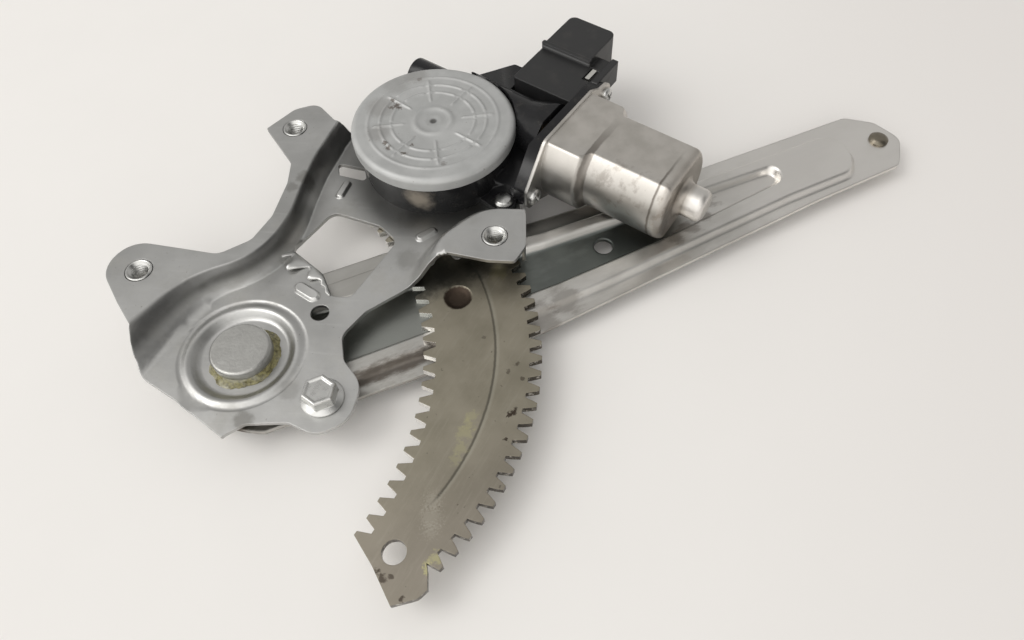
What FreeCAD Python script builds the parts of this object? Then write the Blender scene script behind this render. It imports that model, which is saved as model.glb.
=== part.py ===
import FreeCAD, Part
import math
import os

# Electric window regulator, single lift arm: a pressed base plate, a lift arm with a toothed sector,
# and a worm-geared motor. Millimetres. The origin lies on the arm's pivot axis in the plane that the
# part rests on, +X runs along the lift arm at its lowest position, +Z points from the table upwards.

# --- levels above the resting plane
ARM_Z = 9.0                   # top of the arm's flanges and floor
RIDGE_H = 4.0                 # height of the arm's pressed ridge
ARM_T = 2.0                   # arm sheet
SECTOR_T = 3.0                # sector gear sheet
PLATE_GAP = 0.8               # air between the sector and the base plate
PLATE_T = 1.8                 # base plate sheet
EAR_H = 12.0                  # height of the ears above the base plate's floor
DISH_H = 3.0                  # depth of the dish round the pivot
RIDGE_Z = ARM_Z + RIDGE_H
SECTOR_Z = RIDGE_Z + SECTOR_T
PLATE_Z = SECTOR_Z + PLATE_GAP + PLATE_T
EAR_Z = PLATE_Z + EAR_H
DISH_Z = PLATE_Z - DISH_H

PRESS_CURVE = [(0, 0), (0.18, 0.06), (0.38, 0.28), (0.62, 0.72), (0.82, 0.94), (1, 1)]

# --- running fits
RUN = 0.05                    # radial play of a shaft in its bearing
SEAT = 0.05                   # axial play between faces that turn on each other
FREE = 0.3                    # air round parts that pass one another

# --- output gearing
MODULE = 2.25
PRESSURE = math.radians(20)
SECTOR_N = 106                # teeth of the full circle that the sector is cut from
PINION_N = 9
SHIFT = 0.5                   # profile shift, plus on the pinion and minus on the sector
PINION_TIP = 13.15
BACKLASH = 0.06               # taken off each flank
TOOTH_MID = -38.16            # direction of one sector tooth
SECTOR_FIRST, SECTOR_LAST = -9, 23
PINION_DIR = 32.555           # direction from the pivot to the pinion
SECTOR_R = MODULE * SECTOR_N / 2
PINION_R = MODULE * PINION_N / 2
SECTOR_TIP = SECTOR_R + (1 - SHIFT) * MODULE
SECTOR_ROOT = SECTOR_R - (1.25 + SHIFT) * MODULE
PINION_ROOT = PINION_R - (1.25 - SHIFT) * MODULE
CENTRES = SECTOR_R + PINION_R
GX = CENTRES * math.cos(math.radians(PINION_DIR))
GY = CENTRES * math.sin(math.radians(PINION_DIR))

# --- sector blank: its inner edge is the outer edge of the next blank in the strip
BLANK_X, BLANK_Y = -44.6, 9.8
BLANK_TIP = 117.4
BLANK_ROOT = 122.4
BLANK_FIRST = -56.5
BLANK_STEP = 3.41
BLANK_N = 25
SECTOR_END = 42.0             # direction of the sector's upper end
CREASE_R = 101.5
CREASE_W = 2.0
CREASE_H = 0.6
LUG_HOLE = (30.5, -100.2, 4.45)
DIMPLE = (89.0, -8.1, 6.2)
SECTOR_RIVETS = [(84.0, 15.2), (97.0, 13.8)]
SECTOR_RIVET_R = 2.0
SECTOR_RIVET_RIM = 0.9

# --- lift arm
ARM_SLOPE = 3.5               # plan width of the ridge's slopes
ROLLER_X = 319.2
ROLLER_R = 10.0
ROLLER_GAP = 0.3
ARM_HOLE = (160.8, -4.1, 4.4)

# --- pivot
STUD_R = 6.0
STUD_HEAD_R = 12.1
STUD_HEAD_Z = 22.5
STUD_FOOT_R = 14.0
BUSH_R = 9.0
BUSH_FLANGE_R = 13.5

# --- fasteners in the base plate
EAR_NUTS = [(-28.3, 48.5), (50.9, 104.6), (112.2, 5.2)]
NUT_COLLAR_R = 5.7
NUT_BODY_R = 7.6
NUT_BORE_R = 3.4
NUT_H = 7.5
STOP_BOLT = (24.0, -33.0)
STOP_R = 4.0
STOP_NUT_H = 6.5

# --- gear case
CASE_R = 35.4
CASE_TOP = 35.8
CASE_FLOOR = 2.6
CAVITY_R = 30.0
COLLAR_H = 3.2
COLLAR_R = 34.4
COVER_R = 37.4
COVER_H = 6.3
COVER_RINGS = [(30.7, 1.0), (24.7, 0.9), (18.3, 0.9)]   # radius and half width of each bead
BEAD_H = 0.5
COVER_BOSS_R = 9.7
COVER_RIB = (11.8, 27.8)
SEAL_H = 0.9
SEAL_W = 3.8
CASE_SCREW_R = 2.4
CASE_SCREW_AT = 44.0          # distance of the screws from the pinion's axis
CASE_SCREW_DIRS = [-67.8, 25.0, 105.0]
LUG_H = 3.2

# --- worm drive; s runs along the motor from the pinion's axis, t across it
WORM_N = 54                   # teeth of the worm wheel, driven by one thread
WORM_M = 1.0
WORM_AWAY = 31.0              # distance between the axes of worm and wheel
AXIS_Z = 31.5
WHEEL_H = 7.5
WORM_HALF = 10.0
WORM_ABOVE = 0.9              # height of the thread above the pitch line
SHAFT_R = 2.5
MOTOR_DIR = -57.7             # direction of the motor's axis
TUNNEL_R = 12.0
TIP_R = 8.0                   # the tunnel beyond the wheel, round the shaft's tip
TIP_S = -6.0
TUNNEL_END = -36.0
TIP_BORE_R = 4.5

# --- motor
FLANGE_S = 54.0
HEAD_S = 46.5                 # back of the case's mounting face
FLANGE_T = 1.5
CAN_R = 21.3
CAN_FLAT = 16.8
CAN_WALL = 1.3
CAN_WIDE_R = 24.8
CAN_STEP = 72.0
CAN_END = 112.5
CAN_BEND = 3.2                # radius of the drawn corner at the can's end
BOSS_R = 7.4
BOSS_END = 124.6
BOSS_BEND = 3.0
BOSS_FOOT = 3.0
MOTOR_SCREWS = [(30.5, 7.0), (-30.5, -7.0)]
MOTOR_SCREW_R = 2.0
CORE_R = 14.8
AIR_GAP = 0.7
CORE_S = (74.0, 103.0)
COMM_R = 6.5
COMM_S = (60.0, 68.0)

# --- connector: blocks as (along the shaft from, to, out from the shaft from, to)
PLUG_FOOT = 29.0
BOX_Z = 43.2
SOCKET_Z = 45.6
COLLAR_STEP = 0.6
PLUG_WALL = 2.5
SOCKET_BEND = 3.5
PLUG_BOX = (13.5, 47.0, 13.0, 39.5)
SOCKET = (14.0, 39.5, 39.0, 65.0)
SOCKET_COLLAR = (13.0, 40.5, 38.4, 40.8)
PLUG_RIM = (47.0, 50.4, 22.0, 49.0)
PLUG_SIDE = (38.0, 48.5, 39.0, 49.0)
MOUTH = (16.5, 37.0, 52.0, 70.0)
STRIP_SLOT = (41.6, 46.0, 29.5, 39.0)
STRIP_W = 2.2
STRIP_H = 1.6
BLADE_W = 1.6
BLADE_L = 8.0

UP = FreeCAD.Vector(0, 0, 1)
O = FreeCAD.Vector(0, 0, 0)
X = FreeCAD.Vector(1, 0, 0)
PINION_AT = FreeCAD.Placement(FreeCAD.Vector(GX, GY, 0), FreeCAD.Rotation(UP, 0))
MOTOR_AT = FreeCAD.Placement(FreeCAD.Vector(GX, GY, 0), FreeCAD.Rotation(UP, MOTOR_DIR))
SHAFT_AT = MOTOR_AT.multiply(FreeCAD.Placement(FreeCAD.Vector(0, WORM_AWAY, AXIS_Z),
                                               FreeCAD.Rotation(UP, 0)))


def polar(r, degrees, x=0.0, y=0.0):
    a = math.radians(degrees)
    return x + r * math.cos(a), y + r * math.sin(a)


def grow(points, w):
    """The closed outline moved outwards by w with mitred corners."""
    turn = sum(a[0] * b[1] - a[1] * b[0] for a, b in zip(points, points[1:] + points[:1]))
    w = math.copysign(w, turn * w)
    out = []
    for i, p in enumerate(points):
        a, b = points[i - 1], points[(i + 1) % len(points)]
        ux, uy = p[0] - a[0], p[1] - a[1]
        vx, vy = b[0] - p[0], b[1] - p[1]
        lu, lv = math.hypot(ux, uy), math.hypot(vx, vy)
        nx, ny = uy / lu + vy / lv, -ux / lu - vx / lv
        k = 2 * w / (nx * nx + ny * ny)
        out.append((p[0] + k * nx, p[1] + k * ny) + tuple(p[2:]))
    return out


def outline(points, z, radius):
    """A closed wire whose corners are arcs; a point may carry a radius of its own."""
    ends = []
    for i, p in enumerate(points):
        c = FreeCAD.Vector(p[0], p[1], z)
        a = FreeCAD.Vector(points[i - 1][0], points[i - 1][1], z) - c
        n = points[(i + 1) % len(points)]
        b = FreeCAD.Vector(n[0], n[1], z) - c
        half = a.getAngle(b) / 2
        r = p[2] if len(p) > 2 else radius
        reach = min(r / math.tan(half), 0.48 * min(a.Length, b.Length))
        r = reach * math.tan(half)
        a.normalize()
        b.normalize()
        way = a + b
        way.normalize()
        ends.append((c + a * reach, c + way * (r / math.sin(half) - r), c + b * reach))
    edges = []
    for i, (p, q, r) in enumerate(ends):
        edges.append(Part.LineSegment(ends[i - 1][2], p).toShape())
        edges.append(Part.Arc(p, q, r).toShape())
    return Part.Wire(edges)


def prism(points, z0, z1, radius=1.0):
    return Part.Face(outline(points, z0, radius)).extrude(UP * (z1 - z0))


def pressed(foot, z0, top, z1, radius=4.0):
    """A pressed form with rounded bends: its wall follows an S from the foot line to the top line."""
    wires = []
    for u, v in PRESS_CURVE:
        ring = [(a[0] + u * (b[0] - a[0]), a[1] + u * (b[1] - a[1])) + tuple(a[2:])
                for a, b in zip(foot, top)]
        wires.append(outline(ring, z0 + v * (z1 - z0), radius))
    return Part.makeLoft(wires, True, True)


def drum(r, z0, z1, x=0.0, y=0.0):
    return Part.makeCylinder(r, z1 - z0, FreeCAD.Vector(x, y, z0))


def tube(r_out, r_in, z0, z1, x=0.0, y=0.0):
    return drum(r_out, z0, z1, x, y).cut(drum(r_in, z0 - 1, z1 + 1, x, y))


def rod(r, s0, s1, t=0.0, z=0.0):
    """A cylinder along the motor's axis, in the shaft's own frame."""
    return Part.makeCylinder(r, s1 - s0, FreeCAD.Vector(s0, t, z), X)


def block(x0, x1, y0, y1, z0, z1):
    return Part.makeBox(x1 - x0, y1 - y0, z1 - z0, FreeCAD.Vector(x0, y0, z0))


def turned(profile, x=0.0, y=0.0):
    """A solid of revolution about the vertical through x, y from (radius, height) points."""
    pts = [FreeCAD.Vector(x + r, y, z) for r, z in profile]
    face = Part.Face(Part.makePolygon(pts + pts[:1]))
    return face.revolve(FreeCAD.Vector(x, y, 0), UP, 360)


def joined(shapes):
    return shapes[0].multiFuse(shapes[1:]).removeSplitter()


def hexagon(flats, z0, z1, x, y):
    r = flats / math.sqrt(3)
    return prism([polar(r, 60 * k + 30, x, y) for k in range(6)], z0, z1, 0.2)


# --- base plate

def plate_outline():
    """Clockwise round ear A, the concave edge, ear B, the gear case, ear C and the bolt lobe."""
    edge = [(-14.3, -32.8, 0.6), (-28.0, -8.9), (-37.3, 4.9), (-38.6, 12.5), (-35.6, 23.2, 1.0),
            (-38.4, 34.9), (-42.2, 56.0, 13.0), (-28.5, 65.5, 13.0), (-9.0, 52.0), (3.0, 43.6),
            (17.5, 45.6), (28.5, 55.0), (39.1, 71.2), (43.8, 83.0), (38.7, 109.7, 1.0),
            (54.0, 117.2), (65.0, 116.6, 6.0), (69.9, 100.6, 3.0), (79.0, 102.0), (90.0, 120.0, 8.0),
            (108.0, 121.0, 8.0), (131.0, 107.0), (158.0, 98.0, 8.0), (156.0, 80.0, 8.0),
            (136.0, 60.0), (133.0, 30.0), (129.2, 11.0, 2.0), (122.4, -5.0), (114.6, -10.8, 2.5),
            (104.5, -5.5), (88.9, 6.6), (77.9, 4.6), (64.5, 2.0), (50.9, -0.8), (38.6, -8.0),
            (36.0, -20.0), (39.6, -33.0, 12.0), (30.5, -46.6, 11.0), (17.0, -47.0, 9.0),
            (9.0, -37.5), (-6.1, -31.4, 4.0)]
    return edge


RIM_TOP = [(-60.0, 12.0), (-35.5, 25.0), (-18.0, 34.8), (-4.0, 37.6), (11.0, 37.0), (24.0, 42.2),
           (35.0, 53.0), (44.5, 69.0), (53.5, 82.6), (66.0, 96.6), (90.0, 122.0),
           (60.0, 150.0), (-80.0, 130.0)]
RIM_FOOT = [(-60.0, -10.0), (-34.0, 8.0), (-15.0, 25.6), (-2.4, 31.6), (12.6, 31.8), (27.4, 37.4),
            (39.0, 49.6), (48.6, 66.0), (57.4, 79.2), (69.4, 93.2), (93.6, 118.4),
            (60.0, 150.0), (-80.0, 130.0)]
EARC_TOP = [(90.0, -40.0), (90.0, 5.0), (91.5, 13.6), (106.5, 18.8), (112.7, 19.9), (118.0, 19.0),
            (125.5, 15.6), (145.0, 6.0), (145.0, -40.0)]
EARC_FOOT = [(56.0, -40.0), (66.0, 3.5), (82.0, 19.0), (100.0, 28.0), (112.7, 28.0), (120.0, 23.5),
             (128.0, 19.0), (150.0, 12.0), (150.0, -40.0)]
WINDOW = [(53.5, 57.8, 5.0), (31.0, 43.4, 3.0), (39.7, 25.0), (39.6, 12.5), (47.5, 8.6),
          (74.6, 29.4, 5.0), (70.4, 41.1)]
SLOT = [(62.1, 78.9), (63.9, 86.5), (74.5, 77.9), (72.9, 69.8)]
WINDOW_LIP = [(31.4, 42.8), (29.8, 42.0), (37.9, 25.2), (39.6, 26.0)]
EARC_LIP = [(128.8, 11.4), (127.2, 12.0), (120.9, -3.6), (122.4, -4.4)]
SMALL_HOLE = (33.4, 6.3, 3.9)
RIBS = [[(82.0, 29.4), (92.6, 31.0), (93.8, 26.4), (82.6, 24.0)],
        [(67.3, 71.6), (59.4, 62.8), (55.8, 66.0), (63.7, 74.8)],
        [(26.6, 24.4), (30.6, 25.6), (36.6, 16.0), (35.4, 12.4), (31.4, 12.6), (26.4, 20.6)]]
RIB_H = 1.4
RIB_SLOPE = 1.4
RIB_END_R = 2.4


def plate_ground(drop, inset, margin):
    """All that lies below the plate's surface, lowered by drop with the slopes moved in by inset."""
    low, high = PLATE_Z - drop, EAR_Z - drop
    parts = [block(-90 - margin, 190, -70 - margin, 160, 0, low)]
    for foot, top in ((RIM_FOOT, RIM_TOP), (EARC_FOOT, EARC_TOP)):
        parts.append(pressed(grow(foot, -inset), low, grow(top, -inset), high, 60.0))
    for rib in RIBS:
        foot, top = grow(rib, -0.4 * inset), grow(rib, -RIB_SLOPE - 0.4 * inset)
        parts.append(pressed(foot, low, top, low + RIB_H, RIB_END_R))
    ground = parts[0]
    for shape in parts[1:]:
        ground = ground.fuse(shape)
    return ground


def base_plate():
    sheet = plate_ground(0, 0, 0).cut(plate_ground(PLATE_T, PLATE_T * 0.7, 5.0))
    sheet = sheet.common(prism(plate_outline(), SECTOR_Z, EAR_Z + 5, 7.0))
    lips = [prism(WINDOW_LIP, DISH_Z - PLATE_T, PLATE_Z - 0.5 * PLATE_T, 0.3),
            prism(EARC_LIP, PLATE_Z + FREE, EAR_Z - 0.5 * PLATE_T, 0.3)]
    for lip in lips:
        sheet = sheet.fuse(lip)
    ring = 29.0
    top = [(ring, PLATE_Z), (ring - 0.8, PLATE_Z - 0.35), (ring - 1.8, PLATE_Z - 0.6),
           (ring - 2.8, PLATE_Z - 0.5), (ring - 4.0, PLATE_Z), (ring - 5.2, PLATE_Z + 0.25),
           (ring - 6.4, PLATE_Z + 0.1), (ring - 7.4, PLATE_Z - 0.5), (ring - 9.0, PLATE_Z - 1.8),
           (ring - 10.2, PLATE_Z - 2.6), (ring - 11.6, DISH_Z), (BUSH_R, DISH_Z)]
    under = [(r, z - PLATE_T) for r, z in reversed(top)]
    sheet = sheet.cut(drum(ring, DISH_Z - 5, EAR_Z)).fuse(turned(top + under))
    holes = [prism(WINDOW, SECTOR_Z, EAR_Z, 4.0), prism(SLOT, SECTOR_Z, EAR_Z, 1.5),
             drum(SMALL_HOLE[2], SECTOR_Z, EAR_Z, *SMALL_HOLE[:2]),
             drum(STOP_R + RUN, SECTOR_Z, EAR_Z, *STOP_BOLT),
             drum(PINION_TIP + 2.5, SECTOR_Z, EAR_Z, GX, GY)]
    holes += [drum(NUT_COLLAR_R, SECTOR_Z, EAR_Z + 5, x, y) for x, y in EAR_NUTS]
    holes += [drum(CASE_SCREW_R, SECTOR_Z, EAR_Z, *polar(CASE_SCREW_AT, a, GX, GY))
              for a in CASE_SCREW_DIRS]
    for hole in holes:
        sheet = sheet.cut(hole)
    return sheet.removeSplitter()


def ear_nuts():
    """Clinch nuts: the collar fills the ear's hole and the body lies against its underside."""
    nuts = []
    under = EAR_Z - PLATE_T
    for x, y in EAR_NUTS:
        nut = turned([(NUT_BORE_R, under - NUT_H), (NUT_BODY_R, under - NUT_H), (NUT_BODY_R, under),
                      (NUT_COLLAR_R, under), (NUT_COLLAR_R, EAR_Z), (NUT_COLLAR_R - 0.4, EAR_Z + 0.4),
                      (NUT_BORE_R + 0.6, EAR_Z + 0.4), (NUT_BORE_R, EAR_Z)], x, y)
        nuts.append(nut)
    return Part.makeCompound(nuts)


def stop_bolt():
    x, y = STOP_BOLT
    bolt = turned([(0, ARM_Z + 0.6), (STOP_R - 0.6, ARM_Z + 0.6), (STOP_R, ARM_Z + 1.2), (STOP_R, PLATE_Z),
                   (8.5, PLATE_Z), (8.5, PLATE_Z + 1.2), (6.2, PLATE_Z + 2.4), (0, PLATE_Z + 2.4)], x, y)
    head = hexagon(12.0, PLATE_Z + 2.4, PLATE_Z + 7.4, x, y)
    cap = turned([(0, PLATE_Z + 1.0), (7.6, PLATE_Z + 1.0), (7.6, PLATE_Z + 6.2), (6.2, PLATE_Z + 7.4),
                  (4.6, PLATE_Z + 7.4), (4.2, PLATE_Z + 7.0), (0, PLATE_Z + 7.0)], x, y)
    return joined([bolt, head.common(cap)])


def stop_nut():
    x, y = STOP_BOLT
    top = PLATE_Z - PLATE_T
    return hexagon(13.0, top - STOP_NUT_H, top, x, y).cut(drum(STOP_R, 0, top + 1, x, y))


# --- pivot

def pivot_bush():
    """Flanged bearing pressed into the base plate; its flange spaces the arm from the dish."""
    return turned([(STUD_R + RUN, ARM_Z + SEAT), (BUSH_FLANGE_R, ARM_Z + SEAT),
                   (BUSH_FLANGE_R, DISH_Z - PLATE_T), (BUSH_R, DISH_Z - PLATE_T),
                   (BUSH_R, DISH_Z + 0.5), (STUD_R + RUN, DISH_Z + 0.5)])


def pivot_stud():
    """Riveted pin: the foot carries the arm, the round head closes over the bush."""
    foot = ARM_Z - ARM_T
    head = DISH_Z + 0.5 + SEAT
    return turned([(0, 0), (STUD_FOOT_R - 1.5, 0), (STUD_FOOT_R, 1.5), (STUD_FOOT_R, foot - 1.0),
                   (STUD_R, foot - 1.0), (STUD_R, head), (STUD_HEAD_R - 0.8, head),
                   (STUD_HEAD_R, head + 0.8), (STUD_HEAD_R, STUD_HEAD_Z - 1.0),
                   (STUD_HEAD_R - 1.0, STUD_HEAD_Z), (0, STUD_HEAD_Z)])


def pivot_washer():
    foot = ARM_Z - ARM_T
    return tube(STUD_FOOT_R - 1.0, STUD_R, foot - 1.0, foot)


# --- lift arm

ARM_EDGE = [(-33.6, -33.4, 33.2), (-33.6, 33.6, 33.2), (72.0, 33.2, 60.0), (135.0, 22.4, 60.0),
            (228.0, 19.8, 60.0), (313.0, 20.4, 6.0), (325.0, 11.0, 6.0), (330.0, -4.0, 8.0),
            (318.0, -18.4, 6.0), (268.0, -21.0, 60.0), (212.0, -26.4, 60.0), (150.0, -32.0, 60.0),
            (116.0, -35.0, 60.0), (62.0, -33.6, 60.0)]
RIDGE_FOOT = [(-26.5, -26.0, 25.5), (-26.5, 26.2, 25.5), (67.0, 26.4, 60.0), (135.0, 14.6, 60.0),
              (228.0, 12.8, 60.0), (295.0, 13.6, 10.0), (302.4, -2.4, 12.0), (293.0, -16.8, 10.0),
              (254.0, -18.0, 60.0), (150.0, -26.8, 60.0), (116.0, -28.4, 60.0), (62.0, -26.2, 60.0)]
TROUGH_TOP = [(-18.5, -18.2, 18.0), (-18.5, 17.6, 18.0), (20.0, 17.6, 60.0), (62.0, 12.5, 60.0),
              (136.0, 7.4, 60.0),
              (260.0, 5.2, 6.0), (258.0, -6.6, 6.0), (192.0, -14.4, 60.0), (132.0, -18.0, 60.0)]


def arm_ground(drop, inset, margin):
    """All that lies below the arm's surface: a ridge with a long trough that loops round the hub."""
    low, high = ARM_Z - drop, RIDGE_Z - drop
    ground = block(-60 - margin, 360, -60 - margin, 60, -5, low)
    ridge = pressed(grow(RIDGE_FOOT, -inset), low, grow(RIDGE_FOOT, -inset - ARM_SLOPE), high)
    well = pressed(grow(TROUGH_TOP, inset - ARM_SLOPE), low, grow(TROUGH_TOP, inset), high)
    return ground.fuse(ridge.cut(well))


def lift_arm():
    sheet = arm_ground(0, 0, 0).cut(arm_ground(ARM_T, ARM_T * 0.45, 5.0))
    sheet = sheet.common(prism(ARM_EDGE, 2.0, RIDGE_Z + 5, 10.0))
    holes = [drum(STUD_R, 0, RIDGE_Z), drum(ARM_HOLE[2], 0, RIDGE_Z, *ARM_HOLE[:2]),
             drum(4.0, 0, RIDGE_Z, ROLLER_X, 0)]
    holes += [drum(SECTOR_RIVET_R, 0, RIDGE_Z + 1, x, y) for x, y in SECTOR_RIVETS]
    for hole in holes:
        sheet = sheet.cut(hole)
    return sheet.removeSplitter()


def roller_stud():
    x, under, top = ROLLER_X, ARM_Z - ARM_T, ARM_Z
    return turned([(0, 0.4), (6.5, 0.4), (6.5, 1.8), (5.0, 1.8), (5.0, under), (4.0, under), (4.0, top),
                   (4.8, top), (4.8, top + 0.9), (3.2, top + 2.1), (0, top + 2.4)], x)


def guide_roller():
    top = ARM_Z - ARM_T - ROLLER_GAP
    return turned([(6.5 + FREE, 0), (ROLLER_R - 1.2, 0), (ROLLER_R, 1.2), (ROLLER_R, top - 1.2),
                   (ROLLER_R - 1.2, top), (5.0 + RUN, top), (5.0 + RUN, 1.8 + SEAT),
                   (6.5 + FREE, 1.8 + SEAT)], ROLLER_X)


# --- toothed sector and pinion

def half_tooth(n, shift, r):
    """Half the angle of an involute tooth at radius r."""
    def inv(a):
        return math.tan(a) - a
    pitch = MODULE * n / 2
    base = pitch * math.cos(PRESSURE)
    half = MODULE * (math.pi / 4 + shift * math.tan(PRESSURE)) - BACKLASH
    return half / pitch + inv(PRESSURE) - inv(math.acos(min(1.0, base / max(r, base))))


def tooth_edges(n, shift, root, tip, middle, z):
    """The edges of one tooth in order: near flank, tip, far flank; the root ends are returned too."""
    base = MODULE * n / 2 * math.cos(PRESSURE)
    low = max(base, root)
    flank = []
    for r in (low, (low + tip) / 2, tip):
        flank.append((r, math.degrees(half_tooth(n, shift, r))))

    def at(r, off):
        x, y = polar(r, middle + off)
        return FreeCAD.Vector(x, y, z)
    left = [at(r, -a) for r, a in flank]
    right = [at(r, a) for r, a in flank]
    edges = [Part.Arc(*left).toShape(), Part.LineSegment(left[2], right[2]).toShape(),
             Part.Arc(*reversed(right)).toShape()]
    first, last = left[0], right[0]
    if low > root:
        a = flank[0][1]
        first, last = at(root, -a), at(root, a)
        edges = ([Part.LineSegment(first, left[0]).toShape()] + edges
                 + [Part.LineSegment(right[0], last).toShape()])
    return edges, first, last


def tooth_row(n, shift, root, tip, middles, z):
    edges, ends = [], []
    for middle in middles:
        more, first, last = tooth_edges(n, shift, root, tip, middle, z)
        if ends:
            edges.append(Part.LineSegment(ends[-1], first).toShape())
        edges += more
        ends += [first, last]
    return edges, ends[0], ends[-1]


def sector_gear():
    step = 360.0 / SECTOR_N
    middles = [TOOTH_MID + step * k for k in range(SECTOR_FIRST, SECTOR_LAST + 1)]
    edges, first, last = tooth_row(SECTOR_N, -SHIFT, SECTOR_ROOT, SECTOR_TIP, middles, RIDGE_Z)
    points = [last, polar(SECTOR_ROOT + 1.0, SECTOR_END), polar(91.5, SECTOR_END)]
    for k in reversed(range(BLANK_N)):
        a = BLANK_FIRST + BLANK_STEP * k
        points += [polar(BLANK_ROOT, a + 0.62 * BLANK_STEP, BLANK_X, BLANK_Y),
                   polar(BLANK_ROOT, a + 0.38 * BLANK_STEP, BLANK_X, BLANK_Y),
                   polar(BLANK_TIP, a + 0.12 * BLANK_STEP, BLANK_X, BLANK_Y),
                   polar(BLANK_TIP, a - 0.12 * BLANK_STEP, BLANK_X, BLANK_Y)]
    points += [(22.1, -101.6), (23.7, -116.8), (32.8, -118.4), (36.9, -117.0), (38.9, -111.4), first]
    for p, q in zip(points, points[1:]):
        a = p if isinstance(p, FreeCAD.Vector) else FreeCAD.Vector(p[0], p[1], RIDGE_Z)
        b = q if isinstance(q, FreeCAD.Vector) else FreeCAD.Vector(q[0], q[1], RIDGE_Z)
        edges.append(Part.LineSegment(a, b).toShape())
    plate = Part.Face(Part.Wire(edges)).extrude(UP * SECTOR_T)
    x, y, r = DIMPLE
    boss = turned([(0, ARM_Z), (r - 2.2, ARM_Z), (r - 1.0, RIDGE_Z + 0.5), (0, RIDGE_Z + 0.5)], x, y)
    crater = turned([(0, SECTOR_Z - 1.8), (r - 2.6, SECTOR_Z - 1.6), (r, SECTOR_Z + 0.01),
                     (0, SECTOR_Z + 0.01)], x, y)
    cut = [FreeCAD.Vector(CREASE_R + a * CREASE_W, 0, SECTOR_Z - b * CREASE_H)
           for a, b in ((-0.5, 0), (0.5, 0), (-0.1, 1))]
    crease = Part.Face(Part.makePolygon(cut + cut[:1])).revolve(O, UP, 70)
    crease.rotate(O, UP, -60)
    plate = plate.fuse(boss).cut(crater).cut(crease)
    plate = plate.cut(drum(LUG_HOLE[2], 0, EAR_Z, *LUG_HOLE[:2]))
    for x, y in SECTOR_RIVETS:
        plate = plate.cut(turned([(0, 0), (SECTOR_RIVET_R, 0), (SECTOR_RIVET_R, SECTOR_Z - SECTOR_RIVET_RIM),
                                  (SECTOR_RIVET_R + SECTOR_RIVET_RIM, SECTOR_Z), (0, SECTOR_Z)], x, y))
    return plate.removeSplitter()


def sector_rivets():
    rivets = []
    for x, y in SECTOR_RIVETS:
        under = RIDGE_Z - ARM_T
        r, head = SECTOR_RIVET_R, SECTOR_RIVET_R + SECTOR_RIVET_RIM
        rivets.append(turned([(0, under - 1.2), (head - 0.6, under - 1.2), (head, under - 0.6), (head, under),
                              (r, under), (r, SECTOR_Z - SECTOR_RIVET_RIM), (head, SECTOR_Z),
                              (0, SECTOR_Z)], x, y))
    return Part.makeCompound(rivets)


def pinion_phase():
    """Turns the pinion so that one of its gaps faces the sector tooth nearest the line of centres."""
    step = 360.0 / SECTOR_N
    k = round((PINION_DIR - TOOTH_MID) / step)
    off = TOOTH_MID + k * step - PINION_DIR
    return PINION_DIR + 180 - off * SECTOR_N / PINION_N + 180.0 / PINION_N


def output_pinion():
    """Pinion and stepped shaft in one piece, carried by the case's bearing."""
    z0 = RIDGE_Z + FREE
    middles = [pinion_phase() + 360.0 / PINION_N * k for k in range(PINION_N)]
    edges, first, last = tooth_row(PINION_N, SHIFT, PINION_ROOT, PINION_TIP, middles, z0)
    edges.append(Part.LineSegment(last, first).toShape())
    teeth = Part.Face(Part.Wire(edges)).extrude(UP * (PLATE_Z - PLATE_T + 0.6 - z0))
    web = WHEEL_Z + 1.6
    shaft = turned([(0, z0), (PINION_ROOT - 0.6, z0), (PINION_ROOT - 0.6, PLATE_Z - 0.4), (6.0, PLATE_Z - 0.4),
                    (6.0, web + 6.0), (5.2, web + 6.0), (5.2, web + 6.8), (6.0, web + 6.8), (6.0, web + 7.6),
                    (5.4, web + 8.2), (0, web + 8.2)])
    return teeth.fuse(shaft).removeSplitter()


WHEEL_Z = AXIS_Z - WHEEL_H / 2
WHEEL_R = WORM_M * WORM_N / 2
WORM_R = WORM_AWAY - WHEEL_R


def worm_wheel():
    """Helical ring with an inner cup for the rubber damper."""
    thin = 0.22
    lead = WORM_M / (2 * WORM_R)

    def section(z):
        turn = math.degrees(lead * (z - AXIS_Z) / WHEEL_R)
        pts = []
        for k in range(WORM_N):
            a = 90 + turn + 360.0 / WORM_N * (k + 0.5)
            for r, half in ((WHEEL_R - 1.15 * WORM_M, 0.78), (WHEEL_R + 0.85 * WORM_M, 0.42)):
                w = math.degrees((half * WORM_M * math.pi / 2 - thin) / r)
                pts.append((r, a - w))
            for r, half in ((WHEEL_R + 0.85 * WORM_M, 0.42), (WHEEL_R - 1.15 * WORM_M, 0.78)):
                w = math.degrees((half * WORM_M * math.pi / 2 - thin) / r)
                pts.append((r, a + w))
        pts = [FreeCAD.Vector(*polar(r, a), z) for r, a in pts]
        return Part.makePolygon(pts + pts[:1])
    ring = Part.makeLoft([section(WHEEL_Z), section(WHEEL_Z + WHEEL_H)], True, True)
    ring = ring.cut(drum(17.0, WHEEL_Z + 1.6, WHEEL_Z + WHEEL_H + 1))
    ring = ring.cut(drum(6.0, WHEEL_Z - 1, WHEEL_Z + WHEEL_H + 1))
    ring.Placement = MOTOR_AT.multiply(ring.Placement)
    return ring


def damper_rubber():
    z0 = WHEEL_Z + 1.6
    ring = tube(16.9, 7.4, z0, z0 + 4.0)
    for k in range(3):
        notch = block(9.0, 14.5, -1.6, 1.6, z0 + 1.4, z0 + 5.0)
        notch.rotate(O, UP, 120 * k)
        ring = ring.cut(notch)
    return ring


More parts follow.
